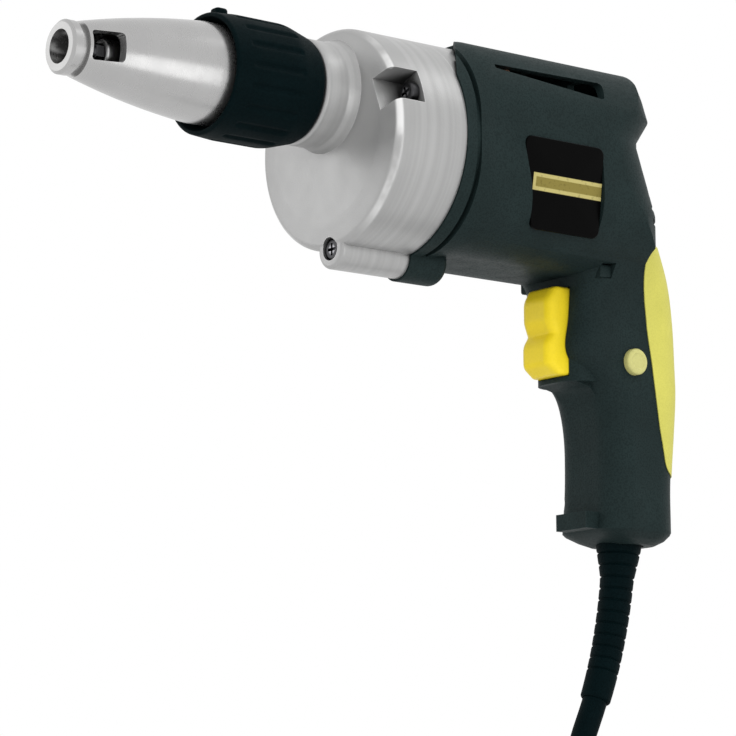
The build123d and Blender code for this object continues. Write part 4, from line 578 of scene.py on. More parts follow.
def rounded_path(corners: Sequence[Sequence[float]], steps: int = 8) -> Points:
    """Closed outline through corners with an arc at each.

    An arc starts r tan(turn / 2) before its corner. Its points are start + r (sin t d + (1 - cos t) n),
    where d is the run into the corner, n its normal on the turning side, and t goes from 0 to the turn.

    Args:
        corners: (a, b, radius) of each corner.
        steps: runs on each arc.

    Returns:
        Points (a, b) of the outline.
    """
    table = np.asarray(corners, float)
    point, radius = table[:, :2], table[:, 2]
    run = unit(point - np.roll(point, 1, axis=0))
    after = np.roll(run, -1, axis=0)
    cross = run[:, 0] * after[:, 1] - run[:, 1] * after[:, 0]
    turn = np.arctan2(np.abs(cross), (run * after).sum(axis=1))
    normal = np.stack([-run[:, 1], run[:, 0]], axis=1) * np.sign(cross)[:, None]
    start = point - run * (radius * np.tan(turn / 2))[:, None]
    t = (turn[:, None] * np.linspace(0.0, 1.0, steps + 1))[..., None]
    arcs = np.sin(t) * run[:, None] + (1 - np.cos(t)) * normal[:, None]
    return (start[:, None] + radius[:, None, None] * arcs).reshape(-1, 2)


def lengths(line: Points) -> Points:
    """Length of a line up to each of its points."""
    return np.concatenate([[0.0], np.cumsum(np.linalg.norm(np.diff(line, axis=0), axis=1))])


def read_at(wanted: Points, length: Points, values: Points) -> Points:
    """Columns of values along a line, read at the wanted lengths by linear interpolation."""
    return np.stack([np.interp(wanted, length, column) for column in values.T], axis=1)


def evenly(outline: Points, count: int) -> Points:
    """A closed outline with evenly spaced points.

    Args:
        outline: points of the outline.
        count: number of points wanted.

    Returns:
        Points of the same outline.
    """
    line = np.vstack([outline, outline[:1]])
    length = lengths(line)
    return read_at(np.linspace(0.0, length[-1], count, endpoint=False), length, line)


def turned(profile: Points, steps: int, foot: Sequence[float], axes: Sequence[Points]) -> Points:
    """Profile turned about an axis: the point at an angle a is foot + h d + r (cos a p + sin a q).

    Args:
        profile: points (h, r), along the axis and away from it.
        steps: points round the axis.
        foot: where the axis starts.
        axes: the directions d, p and q.

    Returns:
        Grid of points, rows along the profile.
    """
    along, first, second = axes
    angle = around(steps)[:, None]
    outward = np.cos(angle) * first + np.sin(angle) * second
    return np.array(foot) + profile[:, :1, None] * along + profile[:, 1:, None] * outward


def placed(name: str, data: bpy.types.ID) -> bpy.types.Object:
    """Object of a mesh, curve, lamp or camera, linked to the scene.

    Args:
        name: name of the object.
        data: what it shows.

    Returns:
        The object.
    """
    made = bpy.data.objects.new(name, data)
    bpy.context.scene.collection.objects.link(made)
    return made


class Skin:
    """Mesh in the making: grids of points in millimetres, joined into one closed surface."""

    def __init__(self) -> None:
        """Start with nothing."""
        self.points: list[Points] = []
        self.faces: list[Points] = []
        self.count = 0

    def sheet(self, grid: Points, close_rows: bool = False, close_columns: bool = False) -> "Skin":
        """Add a grid as quads.

        Args:
            grid: array of rows by columns by 3.
            close_rows: the last row joins the first.
            close_columns: the last column joins the first.

        Returns:
            The skin itself.
        """
        rows, columns = grid.shape[:2]
        number = np.arange(rows * columns).reshape(rows, columns) + self.count
        number = np.vstack([number, number[:1]]) if close_rows else number
        number = np.hstack([number, number[:, :1]]) if close_columns else number
        corners = (number[:-1, :-1], number[:-1, 1:], number[1:, 1:], number[1:, :-1])
        self.faces.append(np.stack(corners, axis=-1).reshape(-1, 4))
        self.points.append(grid.reshape(-1, 3))
        self.count += rows * columns
        return self

    def build(self, name: str, crease: float = 35.0) -> bpy.types.Object:
        """Turn the grids into an object, with seams and poles welded and faces pointing outwards.

        Args:
            name: name of the piece.
            crease: edges sharper than this angle stay sharp, in degrees.

        Returns:
            The object, already in the scene.
        """
        mesh = bpy.data.meshes.new(name)
        mesh.from_pydata(np.vstack(self.points) * MM, [], np.vstack(self.faces).tolist())
        return into_scene(name, mesh, crease, outward=True)


def into_scene(name: str, mesh: bpy.types.Mesh, crease: float, outward: bool) -> bpy.types.Object:
    """Weld a mesh, shade it and link it as an object.

    Args:
        name: name of the piece.
        mesh: its mesh.
        crease: edges sharper than this angle stay sharp, in degrees.
        outward: whether its normals are recalculated.

    Returns:
        The object.
    """
    work = bmesh.new()
    work.from_mesh(mesh)
    bmesh.ops.remove_doubles(work, verts=work.verts, dist=WELD)
    bmesh.ops.dissolve_degenerate(work, dist=WELD / 10, edges=work.edges)
    if outward:
        bmesh.ops.recalc_face_normals(work, faces=work.faces)
    work.to_mesh(mesh)
    work.free()
    mesh.shade_smooth()
    mesh.set_sharp_from_angle(angle=radians(crease))
    return placed(name, mesh)


class Workshop:
    """Fits pieces into the frame: the material of a slot, the body and the nodes that each stands for."""

    def __init__(self) -> None:
        """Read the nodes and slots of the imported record."""
        self.nodes = frame["nodes"]
        self.body = {n: b for b, ns in frame["record"]["behaviour"]["bodies"].items() for n in ns}
        self.slot = {part["node"]: part["material_slot"] for part in frame["record"]["subparts"]}
        self.materials: dict[str, bpy.types.Material] = {}
        self.left = set(self.nodes)

    def finish_of(self, slot: str) -> bpy.types.Material:
        """The material of a slot, made once.

        Args:
            slot: the slot's name.

        Returns:
            The material.
        """
        if slot not in self.materials:
            self.materials[slot] = FINISHES[slot].material()
        return self.materials[slot]

    def fit(self, piece: bpy.types.Object, *nodes: str) -> bpy.types.Object:
        """Let a piece stand for CAD nodes: it takes the first node's body and the finish of its slot.

        Args:
            piece: the piece.
            nodes: the nodes that it replaces.

        Returns:
            The piece.
        """
        slot = self.slot[nodes[0]]
        piece.data.materials.clear()
        piece.data.materials.append(self.finish_of(slot))
        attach(piece, self.body[nodes[0]])
        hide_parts(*nodes)
        self.left -= set(nodes)
        LOG.info("%s stands for %s on %s", piece.name, ", ".join(nodes), self.body[nodes[0]])
        return piece

    def smooth_copies(self, bevels: Iterable[tuple[str, float]], crease: float = 30.0) -> None:
        """Replace CAD nodes by welded, smoothly shaded copies, their sharp edges broken by a small bevel.

        Args:
            bevels: each node's name and the width of its broken edges.
            crease: edges sharper than this angle are broken, in degrees.
        """
        for node, bevel in bevels:
            mesh = self.nodes[node].data.copy()
            if "custom_normal" in mesh.attributes:
                mesh.attributes.remove(mesh.attributes["custom_normal"])
            piece = into_scene(f"{node}_skin", mesh, crease, outward=False)
            broken = piece.modifiers.new("broken_edges", "BEVEL")
            broken.width = bevel * MM
            broken.segments = 2
            broken.limit_method = "ANGLE"
            broken.angle_limit = radians(crease)
            broken.harden_normals = True
            self.fit(piece, node)

    def dress_rest(self) -> None:
        """Give every CAD node that still shows the material of its slot."""
        for node in sorted(self.left):
            for holder in self.nodes[node].material_slots:
                holder.material = self.finish_of(self.slot[node])
            LOG.info("%s keeps its CAD shape", node)


# Sub-assemblies
@dataclass
class Cord:
    """Mains cord: free run, put-away coil and tail on one smooth line, with its tie, plug and pins."""

    radius: float = 0.0045        # metres, as all of the line's sizes
    route: tuple[Pair, ...] = (
        (0.0, -0.0185), (0.0004, -0.046), (0.0034, -0.074), (0.0114, -0.103), (0.0245, -0.130),
        (0.0294, -0.165), (0.0294, -0.200))
    coil_radius: float = 0.065
    pitch: float = 0.0097
    turns: float = 6.0
    per_turn: int = 20
    tail: tuple[float, ...] = (-0.209, -0.236, -0.264)
    length: float = 2.15
    exit: Triple = (0.0004, 0.0, -0.046)
    plug_top: float = -264.0      # millimetres from here on
    plug_length: float = 38.0
    plug_neck: Pair = (7.0, 6.5)  # half widths at the cord
    plug_half: Pair = (17.5, 12.5)                  # half widths at the face
    plug_power: float = 0.55      # squareness of the sections
    plug_swell: Pair = (0.25, 0.68)                 # shares of the length between which it swells
    plug_rim: Pair = (0.05, 0.12)                   # rounding of the face, as shares of length and width
    plug_rows: int = 60
    plug_steps: int = 96
    ridge_height: float = 0.35
    ridge_pitch: float = 3.4
    ridge_start: Pair = (0.04, 0.1)                 # shares of the length over which ridges begin and end
    ridge_end: Pair = (0.3, 0.36)
    pin_radius: float = 2.4
    pin_length: float = 19.0
    pin_spacing: float = 19.0
    pin_round: float = 1.2
    pin_steps: int = 40
    tie_width: float = 9.0
    tie_thickness: float = 1.4
    tie_corner: float = 4.0
    tie_edges: Pair = (0.4, 0.6)  # rounding of its inner and of its outer edges
    tie_room: float = 0.3         # between the tie and the bundle
    tie_steps: int = 160

    @property
    def plug_axis(self) -> Pair:
        """X and Y of the plug's axis, in millimetres."""
        return self.route[-1][0] / MM, self.pitch / MM

    def coil(self) -> Points:
        """Control points of the coil.

        The radius falls by a pitch each turn to the middle and rises again, and the line climbs one pitch
        in the middle half turn. A line on control points runs inside them, by the cosine of half a step.

        Returns:
            Points in metres.
        """
        turn = np.arange(1, int(self.turns * self.per_turn) + 1) / self.per_turn
        middle = self.turns / 2
        radius = self.coil_radius - self.pitch * (middle - np.abs(turn - middle))
        climb = self.pitch * smooth_rise(middle - 0.25, middle + 0.25, turn)
        reach = radius / cos(pi / self.per_turn)
        end_x, end_z = self.route[-1]
        x = end_x - self.coil_radius + reach * np.cos(TURN * turn)
        return np.stack([x, climb, end_z - reach * np.sin(TURN * turn)], axis=1)

    def line(self) -> Points:
        """All control points of the cord.

        Returns:
            Points in metres.
        """
        run = np.array([(x, 0.0, z) for x, z in self.route])
        tail = np.array([(self.route[-1][0], self.pitch, z) for z in self.tail])
        return np.vstack([run, self.coil()[:-1], tail])

    def curve(self, name: str, points: Points, radius: float) -> bpy.types.Object:
        """One open smooth spline on control points.

        Args:
            name: name of the object.
            points: control points in metres.
            radius: radius of its round section, or 0 for a bare line.

        Returns:
            The object.
        """
        data = bpy.data.curves.new(name, "CURVE")
        data.dimensions = "3D"
        spline = data.splines.new("NURBS")
        spline.points.add(len(points) - 1)
        spline.points.foreach_set("co", np.hstack([points, np.ones((len(points), 1))]).ravel())
        spline.order_u = 3
        spline.use_endpoint_u = True
        spline.resolution_u = 8
        data.bevel_depth = radius
        data.bevel_resolution = 6
        data.use_fill_caps = radius > 0
        return placed(name, data)

    def centreline(self) -> Points:
        """Points read from the free run's own spline.

        Returns:
            Points in millimetres.
        """
        probe = self.curve("probe", self.line()[:len(self.route) + 2], 0.0)
        bpy.context.view_layer.update()
        mesh = bpy.data.meshes.new_from_object(probe.evaluated_get(bpy.context.evaluated_depsgraph_get()))
        flat = np.empty(3 * len(mesh.vertices))
        mesh.vertices.foreach_get("co", flat)
        bpy.data.objects.remove(probe)
        return flat.reshape(-1, 3) / MM

    def plug(self) -> Skin:
        """Plug body: superellipse sections whose half widths swell from the cord to the face.

        A section's point at an angle a is (hx |cos a|^e, hy |sin a|^e) with the signs kept. Grip ridges,
        a sine along the length, stand on the slope, and the face's edge is rounded off as a quarter ellipse.

        Returns:
            The closed skin.
        """
        share = np.concatenate([np.linspace(0.0, 1.0, self.plug_rows), [1.0, 1.0]])
        inset = np.concatenate([np.zeros(self.plug_rows), [0.5, 1.0]])
        swell = smooth_rise(*self.plug_swell, share)
        rim_length, rim_width = self.plug_rim
        last = np.clip((share - 1 + rim_length) / rim_length, 0.0, 1.0)
        round_off = 1 - rim_width * (1 - np.sqrt(1 - last ** 2))
        ridge = self.ridge_height * np.sin(share * self.plug_length * TURN / self.ridge_pitch)
        ridge = ridge * window(share, self.ridge_start, self.ridge_end)
        neck, face = np.array(self.plug_neck), np.array(self.plug_half)
        half = (neck + np.outer(swell, face - neck)) * round_off[:, None] + ridge[:, None]
        half = half * (1 - inset)[:, None]
        angle = around(self.plug_steps)
        section = signed_power(np.stack([np.cos(angle), np.sin(angle)], axis=1), self.plug_power)
        flat = np.array(self.plug_axis) + half[:, None] * section
        grid = lifted(flat, (self.plug_top - share * self.plug_length)[:, None])
        top = np.broadcast_to(grid[:1].mean(axis=1, keepdims=True), grid[:1].shape)
        return Skin().sheet(np.concatenate([top, grid]), close_columns=True)

    def pins(self) -> Skin:
        """Two round pins with domed tips: a profile of radius against depth, turned about each pin's axis.

        Returns:
            The skin of both.
        """
        outline = rounded_path(((0.0, 0.0, 0.0), (0.0, self.pin_radius, 0.0),
                                (self.pin_length, self.pin_radius, self.pin_round),
                                (self.pin_length, 0.0, 0.0)), steps=6)
        x, y = self.plug_axis
        skin = Skin()
        for side in (1, -1):
            foot = (x + side * self.pin_spacing / 2, y, self.plug_top - self.plug_length)
            grid = turned(outline, self.pin_steps, foot, (-Z_AXIS, X_AXIS, Y_AXIS))
            skin.sheet(grid, close_columns=True)
        return skin

    def tie(self) -> Skin:
        """Strap round the bundle: a flat rounded section carried round a rounded box outline.

        Returns:
            The closed skin.
        """
        room = self.radius / MM + self.tie_room
        end_x, end_z = (value / MM for value in self.route[-1])
        outer = end_x - 2 * self.coil_radius / MM - room
        inner = end_x - (2 * self.coil_radius - self.pitch * self.turns / 2) / MM + room
        low, high = -room, self.pitch / MM + room
        box = ((outer, low), (inner, low), (inner, high), (outer, high))
        loop = evenly(rounded_path([(x, y, self.tie_corner) for x, y in box]), self.tie_steps)
        tangent = unit(np.roll(loop, -1, axis=0) - np.roll(loop, 1, axis=0))
        outward = np.stack([tangent[:, 1], -tangent[:, 0]], axis=1)
        half = self.tie_width / 2
        under, over = self.tie_edges
        section = rounded_path(((0.0, -half, under), (self.tie_thickness, -half, over),
                                (self.tie_thickness, half, over), (0.0, half, under)), steps=4)
        flat = loop[:, None] + section[None, :, :1] * outward[:, None]
        return Skin().sheet(lifted(flat, end_z + section[:, 1]), close_rows=True, close_columns=True)

    def build(self, shop: Workshop) -> None:
        """Make the cord and the pieces on it.

        Args:
            shop: where pieces are fitted.
        """
        flex = self.curve("mains_flex", self.line(), self.radius)
        shop.fit(flex, "mains_cord", "cord_coil", "cord_tail")
        tie = shop.fit(self.tie().build("coil_strap"), "coil_tie")
        plug = shop.fit(self.plug().build("plug_moulding"), "plug_body")
        pins = shop.fit(self.pins().build("plug_pin_pair"), "plug_pins")


@dataclass
class CordGuard:
    """Tapered guard round the cord: a flange inside the handle, a head and a ringed sleeve."""

    flange_radius: float = 10.2
    flange_top: float = -41.0
    flange_low: float = -44.0
    head_radius: float = 8.3
    head_low: float = -52.5
    mid_radius: float = 6.1
    mid_run: float = 20.0
    end_radius: float = 5.5
    end_run: float = 66.0
    bore: float = 4.6
    first_groove: float = 11.0    # run to the middle of the first groove
    groove_pitch: float = 4.4
    groove_depth: float = 0.55
    groove_power: int = 6         # the greater, the narrower the grooves
    fade_in: Pair = (8.0, 9.0)    # runs over which the grooves begin and end
    fade_out: Pair = (56.0, 58.0)
    flange_edge: float = 0.4
    lip_run: float = 1.2
    lip_depth: float = 0.64
    lip_share: float = 0.999      # how much of the lip's quarter round there is
    knee: int = 25                # points of the running mean that rounds the sleeve's knees
    rows: int = 330
    bore_rows: int = 70
    steps: int = 72

    def sleeve(self, run: Points) -> Points:
        """Outer radius of the sleeve at a run below the flange.

        It falls from the head to the middle and on to the end, with rounded knees, less grooves of the form
        max(0, cos(2 pi s / pitch))^n in the run s, and less a quarter-round lip at the end.

        Args:
            run: evenly spaced runs.

        Returns:
            The radius at each.
        """
        knots = [0.0, self.flange_low - self.head_low, self.mid_run, self.end_run]
        radius = np.interp(run, knots, [self.head_radius, self.head_radius, self.mid_radius, self.end_radius])
        mean = np.full(self.knee, 1 / self.knee)
        radius = np.convolve(np.pad(radius, self.knee // 2, mode="edge"), mean, mode="valid")
        wave = np.clip(np.cos(TURN * (run - self.first_groove) / self.groove_pitch), 0.0, 1.0)
        groove = self.groove_depth * wave ** self.groove_power * window(run, self.fade_in, self.fade_out)
        last = smooth_rise(self.end_run - self.lip_run, self.end_run, run) * self.lip_share
        return radius - groove - self.lip_depth * (1 - np.sqrt(1 - last ** 2))

    def skin(self, centreline: Points) -> Skin:
        """Flange, sleeve and bore along the cord's own line.

        The bore runs back up the line, and its last ring joins the flange. The point of a ring at an angle a
        is the line's point + r (cos a p + sin a q), where p and q are square to the line.

        Args:
            centreline: points of the cord's line.

        Returns:
            The closed skin.
        """
        run = np.linspace(0.0, self.end_run, self.rows)
        rise = self.flange_top - self.flange_low
        inner = np.linspace(self.end_run, -rise, self.bore_rows)
        flange = [self.flange_radius, self.flange_radius, self.flange_radius - self.flange_edge]
        radius = np.concatenate([flange, self.sleeve(run), np.full(len(inner), self.bore)])
        length = lengths(centreline)
        start = np.interp(-self.flange_low, -centreline[:, 2], length)
        at = start + np.concatenate([[-rise, -self.flange_edge, 0.0], run, inner])
        middle = read_at(at, length, centreline)
        tangent = unit(read_at(at, length, np.gradient(centreline, length, axis=0)))
        ahead = np.cross(tangent, Y_AXIS)
        angle = around(self.steps)[:, None]
        ring = np.cos(angle) * ahead[:, None] + np.sin(angle) * Y_AXIS
        grid = middle[:, None] + radius[:, None, None] * ring
        return Skin().sheet(grid, close_rows=True, close_columns=True)

    def build(self, shop: Workshop, centreline: Points) -> None:
        """Make the guard along the points of the cord's line."""
        shop.fit(self.skin(centreline).build("guard_sleeve"), "cord_guard")


@dataclass
class Collar:
    """Grip collar: a turned body tapered at both ends, with soft flutes, a flared mouth and a nub on top."""

    rear: float = 148.3
    front: float = 186.7
    radius: float = 21.5
    rear_radius: float = 18.4
    rear_taper: float = 11.0
    rear_round: float = 2.0
    front_radius: float = 20.8
    front_taper: float = 9.0
    front_round: float = 1.0
    bend: float = 14.0
    web: float = 7.0
    bore: float = 17.6
    mouth_radius: float = 19.4
    mouth_length: float = 4.0
    mouth_round: float = 1.0
    stub_bore: float = 13.05
    flutes: int = 18
    flute_depth: float = 0.8
    flute_half: float = 1.7
    flute_rear: float = 157.7
    flute_front: float = 181.7
    flute_fade: float = 2.5
    flute_steps: int = 15         # points across a flute and the land beside it
    rows: int = 280
    edge: float = 0.3             # rounding of the inner edges
    crease: float = 40.0          # edges sharper than this angle stay sharp, in degrees
    nub_length: float = 5.0
    nub_back: float = 6.9         # from the front to the nub's middle
    nub_half: float = 2.2
    nub_height: float = 2.2
    nub_power: float = 0.45       # squareness of the nub
    nub_steps: tuple[int, int] = (48, 25)           # points round the nub and up it

    def outline(self) -> Points:
        """Half section of the body.

        Returns:
            Evenly spaced points (x, radius).
        """
        corners = (
            (self.rear, self.stub_bore, self.edge), (self.rear, self.rear_radius, self.rear_round),
            (self.rear + self.rear_taper, self.radius, self.bend),
            (self.front - self.front_taper, self.radius, self.bend),
            (self.front, self.front_radius, self.front_round), (self.front, self.mouth_radius, self.edge),
            (self.front - self.mouth_length, self.bore, self.mouth_round),
            (self.rear + self.web, self.bore, self.edge), (self.rear + self.web, self.stub_bore, self.edge))
        return evenly(rounded_path(corners), self.rows)

    def body(self) -> Points:
        """Turned grid whose outer rows are held under the flutes.

        A flute's floor is at the radius less a depth times cos^2 across and a smooth window along. An outer
        point that stands higher sinks to it.

        Returns:
            Grid of points.
        """
        profile = self.outline()
        steps = self.flute_steps * self.flutes
        angle = around(steps)
        step = TURN / self.flutes
        across = ((angle / step) % 1.0 - 0.5) * step * self.radius
        groove = np.cos(np.clip(across / self.flute_half, -1.0, 1.0) * pi / 2) ** 2
        x, r = profile[:, 0], profile[:, 1:]
        along = window(x, (self.flute_rear, self.flute_rear + self.flute_fade),
                       (self.flute_front - self.flute_fade, self.flute_front))
        floor = self.radius - self.flute_depth * along[:, None] * groove
        outer = r > (self.bore + self.front_radius) / 2
        sink = np.clip(r - floor, 0.0, self.flute_depth) * outer
        inward = np.sin(angle)[:, None] * Y_AXIS + np.cos(angle)[:, None] * Z_AXIS
        grid = turned(profile, steps, SPINDLE_Z * Z_AXIS, (X_AXIS, Z_AXIS, Y_AXIS))
        return grid - sink[..., None] * inward

    def nub(self) -> Points:
        """Soft-cornered bump: a superellipsoid, (cos u cos v)^e and so on with the signs kept.

        Returns:
            Grid of points.
        """
        u = around(self.nub_steps[0])[:, None]
        v = np.linspace(-pi / 2, pi / 2, self.nub_steps[1])
        cos_u, sin_u, cos_v, sin_v = (signed_power(value, self.nub_power)
                                      for value in (np.cos(u), np.sin(u), np.cos(v), np.sin(v)))
        x = self.front - self.nub_back + self.nub_length / 2 * cos_u * cos_v
        z = SPINDLE_Z + self.radius + self.nub_height * sin_v * np.ones_like(u)
        return np.stack([x, self.nub_half * sin_u * cos_v, z], axis=-1)

    def build(self, shop: Workshop) -> None:
        """Make the collar.

        Args:
            shop: where pieces are fitted.
        """
        skin = Skin().sheet(self.body(), close_rows=True, close_columns=True)
        skin.sheet(self.nub(), close_rows=True)
        shop.fit(skin.build("collar_grip", self.crease), "adjusting_collar")


@dataclass
class NoseGroup:
    """Depth nose with the bit and its holder, which show through its mouth and windows."""

    bevels: tuple[tuple[str, float], ...] = (
        ("depth_nose", 0.35), ("bit_holder", 0.12), ("screw_bit", 0.12), ("holder_ring", 0.12),
        ("output_spindle", 0.12))

    def build(self, shop: Workshop) -> None:
        """Make the nose and what is inside it."""
        shop.smooth_copies(self.bevels)


@dataclass
class GearCase:
    """Die-cast case, the bearing plate's tongue behind it, and the case screws."""

    bevels: tuple[tuple[str, float], ...] = (("gear_case", 0.5), ("bearing_plate", 0.4), ("case_screws", 0.2))

    def build(self, shop: Workshop) -> None:
        """Make the case, plate and screws."""
        shop.smooth_copies(self.bevels)


@dataclass
class Housing:
    """Two moulded halves, the screws that hold them, the back strap and the side panel."""

    bevels: tuple[tuple[str, float], ...] = (
        ("left_housing", 0.4), ("right_housing", 0.4), ("backstrap_grip", 0.5), ("housing_screws", 0.25))
    panel_middle: Triple = (58.0, 34.4, 67.0)
    panel_tilt: float = 10.0
    panel_corners: tuple[Pair, ...] = ((-19.0, 16.2), (18.0, 16.2), (19.5, -16.0), (-12.0, -16.0))
    panel_round: float = 3.0
    panel_thickness: float = 1.4
    panel_gap: float = 0.1
    panel_edge: float = 0.5
    panel_steps: int = 7          # points on the rounded rim

    def panel(self) -> Skin:
        """Flat plate with a rounded rim.

        The outline shrinks towards its middle by an inset e (1 - cos t) while it rises by e sin t, and the
        flat top closes on the middle. Local x runs back along -X and local y up the tilted wall.

        Returns:
            The closed skin.
        """
        outline = rounded_path([(x, y, self.panel_round) for x, y in self.panel_corners])
        middle = outline.mean(axis=0)
        reach = np.abs(outline - middle).max()
        t = np.linspace(0.0, pi / 2, self.panel_steps)
        rounding = self.panel_gap + self.panel_edge * (1 - np.cos(t))
        inset = np.concatenate([[reach, self.panel_gap], rounding, [reach]])
        rim = self.panel_thickness - self.panel_edge
        height = np.concatenate([[0.0, 0.0], rim + self.panel_edge * np.sin(t), [self.panel_thickness]])
        flat = middle + (outline - middle) * (1 - inset / reach)[:, None, None]
        tilt = radians(self.panel_tilt)
        axes = np.array([(-1.0, 0.0, 0.0), (0.0, sin(tilt), cos(tilt)), (0.0, cos(tilt), -sin(tilt))])
        local = lifted(flat, height[:, None])
        return Skin().sheet(np.array(self.panel_middle) + local @ axes, close_columns=True)

    def build(self, shop: Workshop) -> None:
        """Make the halves and what is fixed to them."""
        shop.smooth_copies(self.bevels)
        shop.fit(self.panel().build("side_plate"), "side_panel")


@dataclass
class Controls:
    """Trigger, lock button and reversing bar."""

    trigger_rear: float = 26.5
    trigger_front: float = 40.7
    trigger_low: float = 6.8
    trigger_high: float = 39.0
    trigger_half: float = 8.0
    trigger_plan_round: float = 3.5
    trigger_edge: float = 1.3
    trigger_rear_round: float = 0.6
    trigger_steps: tuple[int, int, int] = (240, 24, 8)     # round the outline, half across, on the edge
    trigger_face: tuple[Triple, ...] = (            # behind the front, height, corner radius
        (5.0, 6.8, 3.0), (0.0, 10.3, 3.0), (0.0, 18.0, 6.0), (2.6, 21.8, 1.2), (0.6, 26.5, 6.0),
        (0.6, 34.0, 6.0), (3.6, 39.0, 2.5))
    lock_x: float = 8.0
    lock_z: float = 12.6
    lock_radius: float = 4.8
    lock_rear: float = 12.4
    lock_flange: float = 14.0
    lock_flange_radius: float = 6.0
    lock_face: float = 19.8
    lock_rim: float = 1.7         # width of the rim round the dished face, and of the slope inside it
    lock_slope: float = 0.5
    lock_dish: float = 0.35       # depth of the dished face
    lock_rounds: tuple[float, ...] = (0.3, 0.2, 1.2, 0.4, 0.6)    # flange, its foot, face, rim and dish
    lock_steps: int = 64
    crease: float = 50.0          # edges sharper than this angle stay sharp, in degrees
    bar_bevel: float = 0.2

    def trigger(self) -> Skin:
        """Two-finger trigger: its side outline carried across its width.

        At a width y the outline is drawn back to the rear by what a plan arc of the front corners gives. Near
        both sides it shrinks by e (1 - cos t) while the width grows by e sin t, and the last ring closes on
        the middle.

        Returns:
            The closed skin.
        """
        face = [(self.trigger_front - back, height, radius) for back, height, radius in self.trigger_face]
        rear, rounding = self.trigger_rear, self.trigger_rear_round
        corners = [(rear, self.trigger_low, rounding), *face, (rear, self.trigger_high, rounding)]
        around_count, across_count, edge_count = self.trigger_steps
        outline = evenly(rounded_path(corners), around_count)
        low, high = outline.min(axis=0), outline.max(axis=0)
        middle, half = (low + high) / 2, (high - low) / 2
        t = np.linspace(0.0, pi / 2, edge_count + 1)[1:]
        flank = self.trigger_half - self.trigger_edge
        level = np.linspace(0.0, flank, across_count)
        width = np.concatenate([level, flank + self.trigger_edge * np.sin(t), [self.trigger_half]])
        inset = np.concatenate([np.zeros_like(level), self.trigger_edge * (1 - np.cos(t)), [half.max()]])
        width = np.concatenate([-width[:0:-1], width])
        inset = np.concatenate([inset[:0:-1], inset])
        ring = middle + (outline - middle) * np.clip(1 - inset[:, None, None] / half, 0.0, 1.0)
        plan = self.trigger_plan_round
        over = np.clip(np.abs(width) - (self.trigger_half - plan), 0.0, plan)
        drawn = (plan - np.sqrt(plan ** 2 - over ** 2)) / (2 * half[0])
        x = low[0] + (ring[..., 0] - low[0]) * (1 - drawn)[:, None]
        y = np.repeat(width[:, None], len(outline), axis=1)
        return Skin().sheet(np.stack([x, y, ring[..., 1]], axis=-1), close_columns=True)

    def lock(self) -> Skin:
        """Round button turned about Y: flange behind the wall, stem with a soft rim and a dished face.

        Returns:
            The closed skin.
        """
        face, dish, r = self.lock_face, self.lock_face - self.lock_dish, self.lock_radius
        at_flange, at_foot, at_face, at_rim, at_dish = self.lock_rounds
        outline = rounded_path((
            (self.lock_rear, 0.0, 0.0), (self.lock_rear, self.lock_flange_radius, at_flange),
            (self.lock_flange, self.lock_flange_radius, at_flange), (self.lock_flange, r, at_foot),
            (face, r, at_face), (face, r - self.lock_rim, at_rim),
            (dish, r - self.lock_rim - self.lock_slope, at_dish), (dish, 0.0, 0.0)), steps=6)
        foot = (self.lock_x, 0.0, self.lock_z)
        grid = turned(outline, self.lock_steps, foot, (Y_AXIS, X_AXIS, Z_AXIS))
        return Skin().sheet(grid, close_columns=True)

    def build(self, shop: Workshop) -> None:
        """Make the controls.

        Args:
            shop: where pieces are fitted.
        """
        shop.fit(self.trigger().build("trigger_lever", self.crease), "trigger")
        shop.fit(self.lock().build("lock_cap", self.crease), "lock_button")
        shop.smooth_copies([("reversing_bar", self.bar_bevel)])


@dataclass(frozen=True)
class Coil:
    """One wound spring and the joint that presses it together."""

    node: str
    joint: str
    foot: Triple                          # middle of the end that stays
    axis: Triple
    radius: float                         # to the middle of the wire
    length: float                         # free length, over the wire
    turns: int
    travel: float                         # how far the joint presses it
    spare: float = 0.005                  # share of the length by which it shortens further, for room

    @property
    def keep(self) -> float:
        """Share of the length that is left at the joint's limit."""
        return (self.length - self.travel) / self.length - self.spare


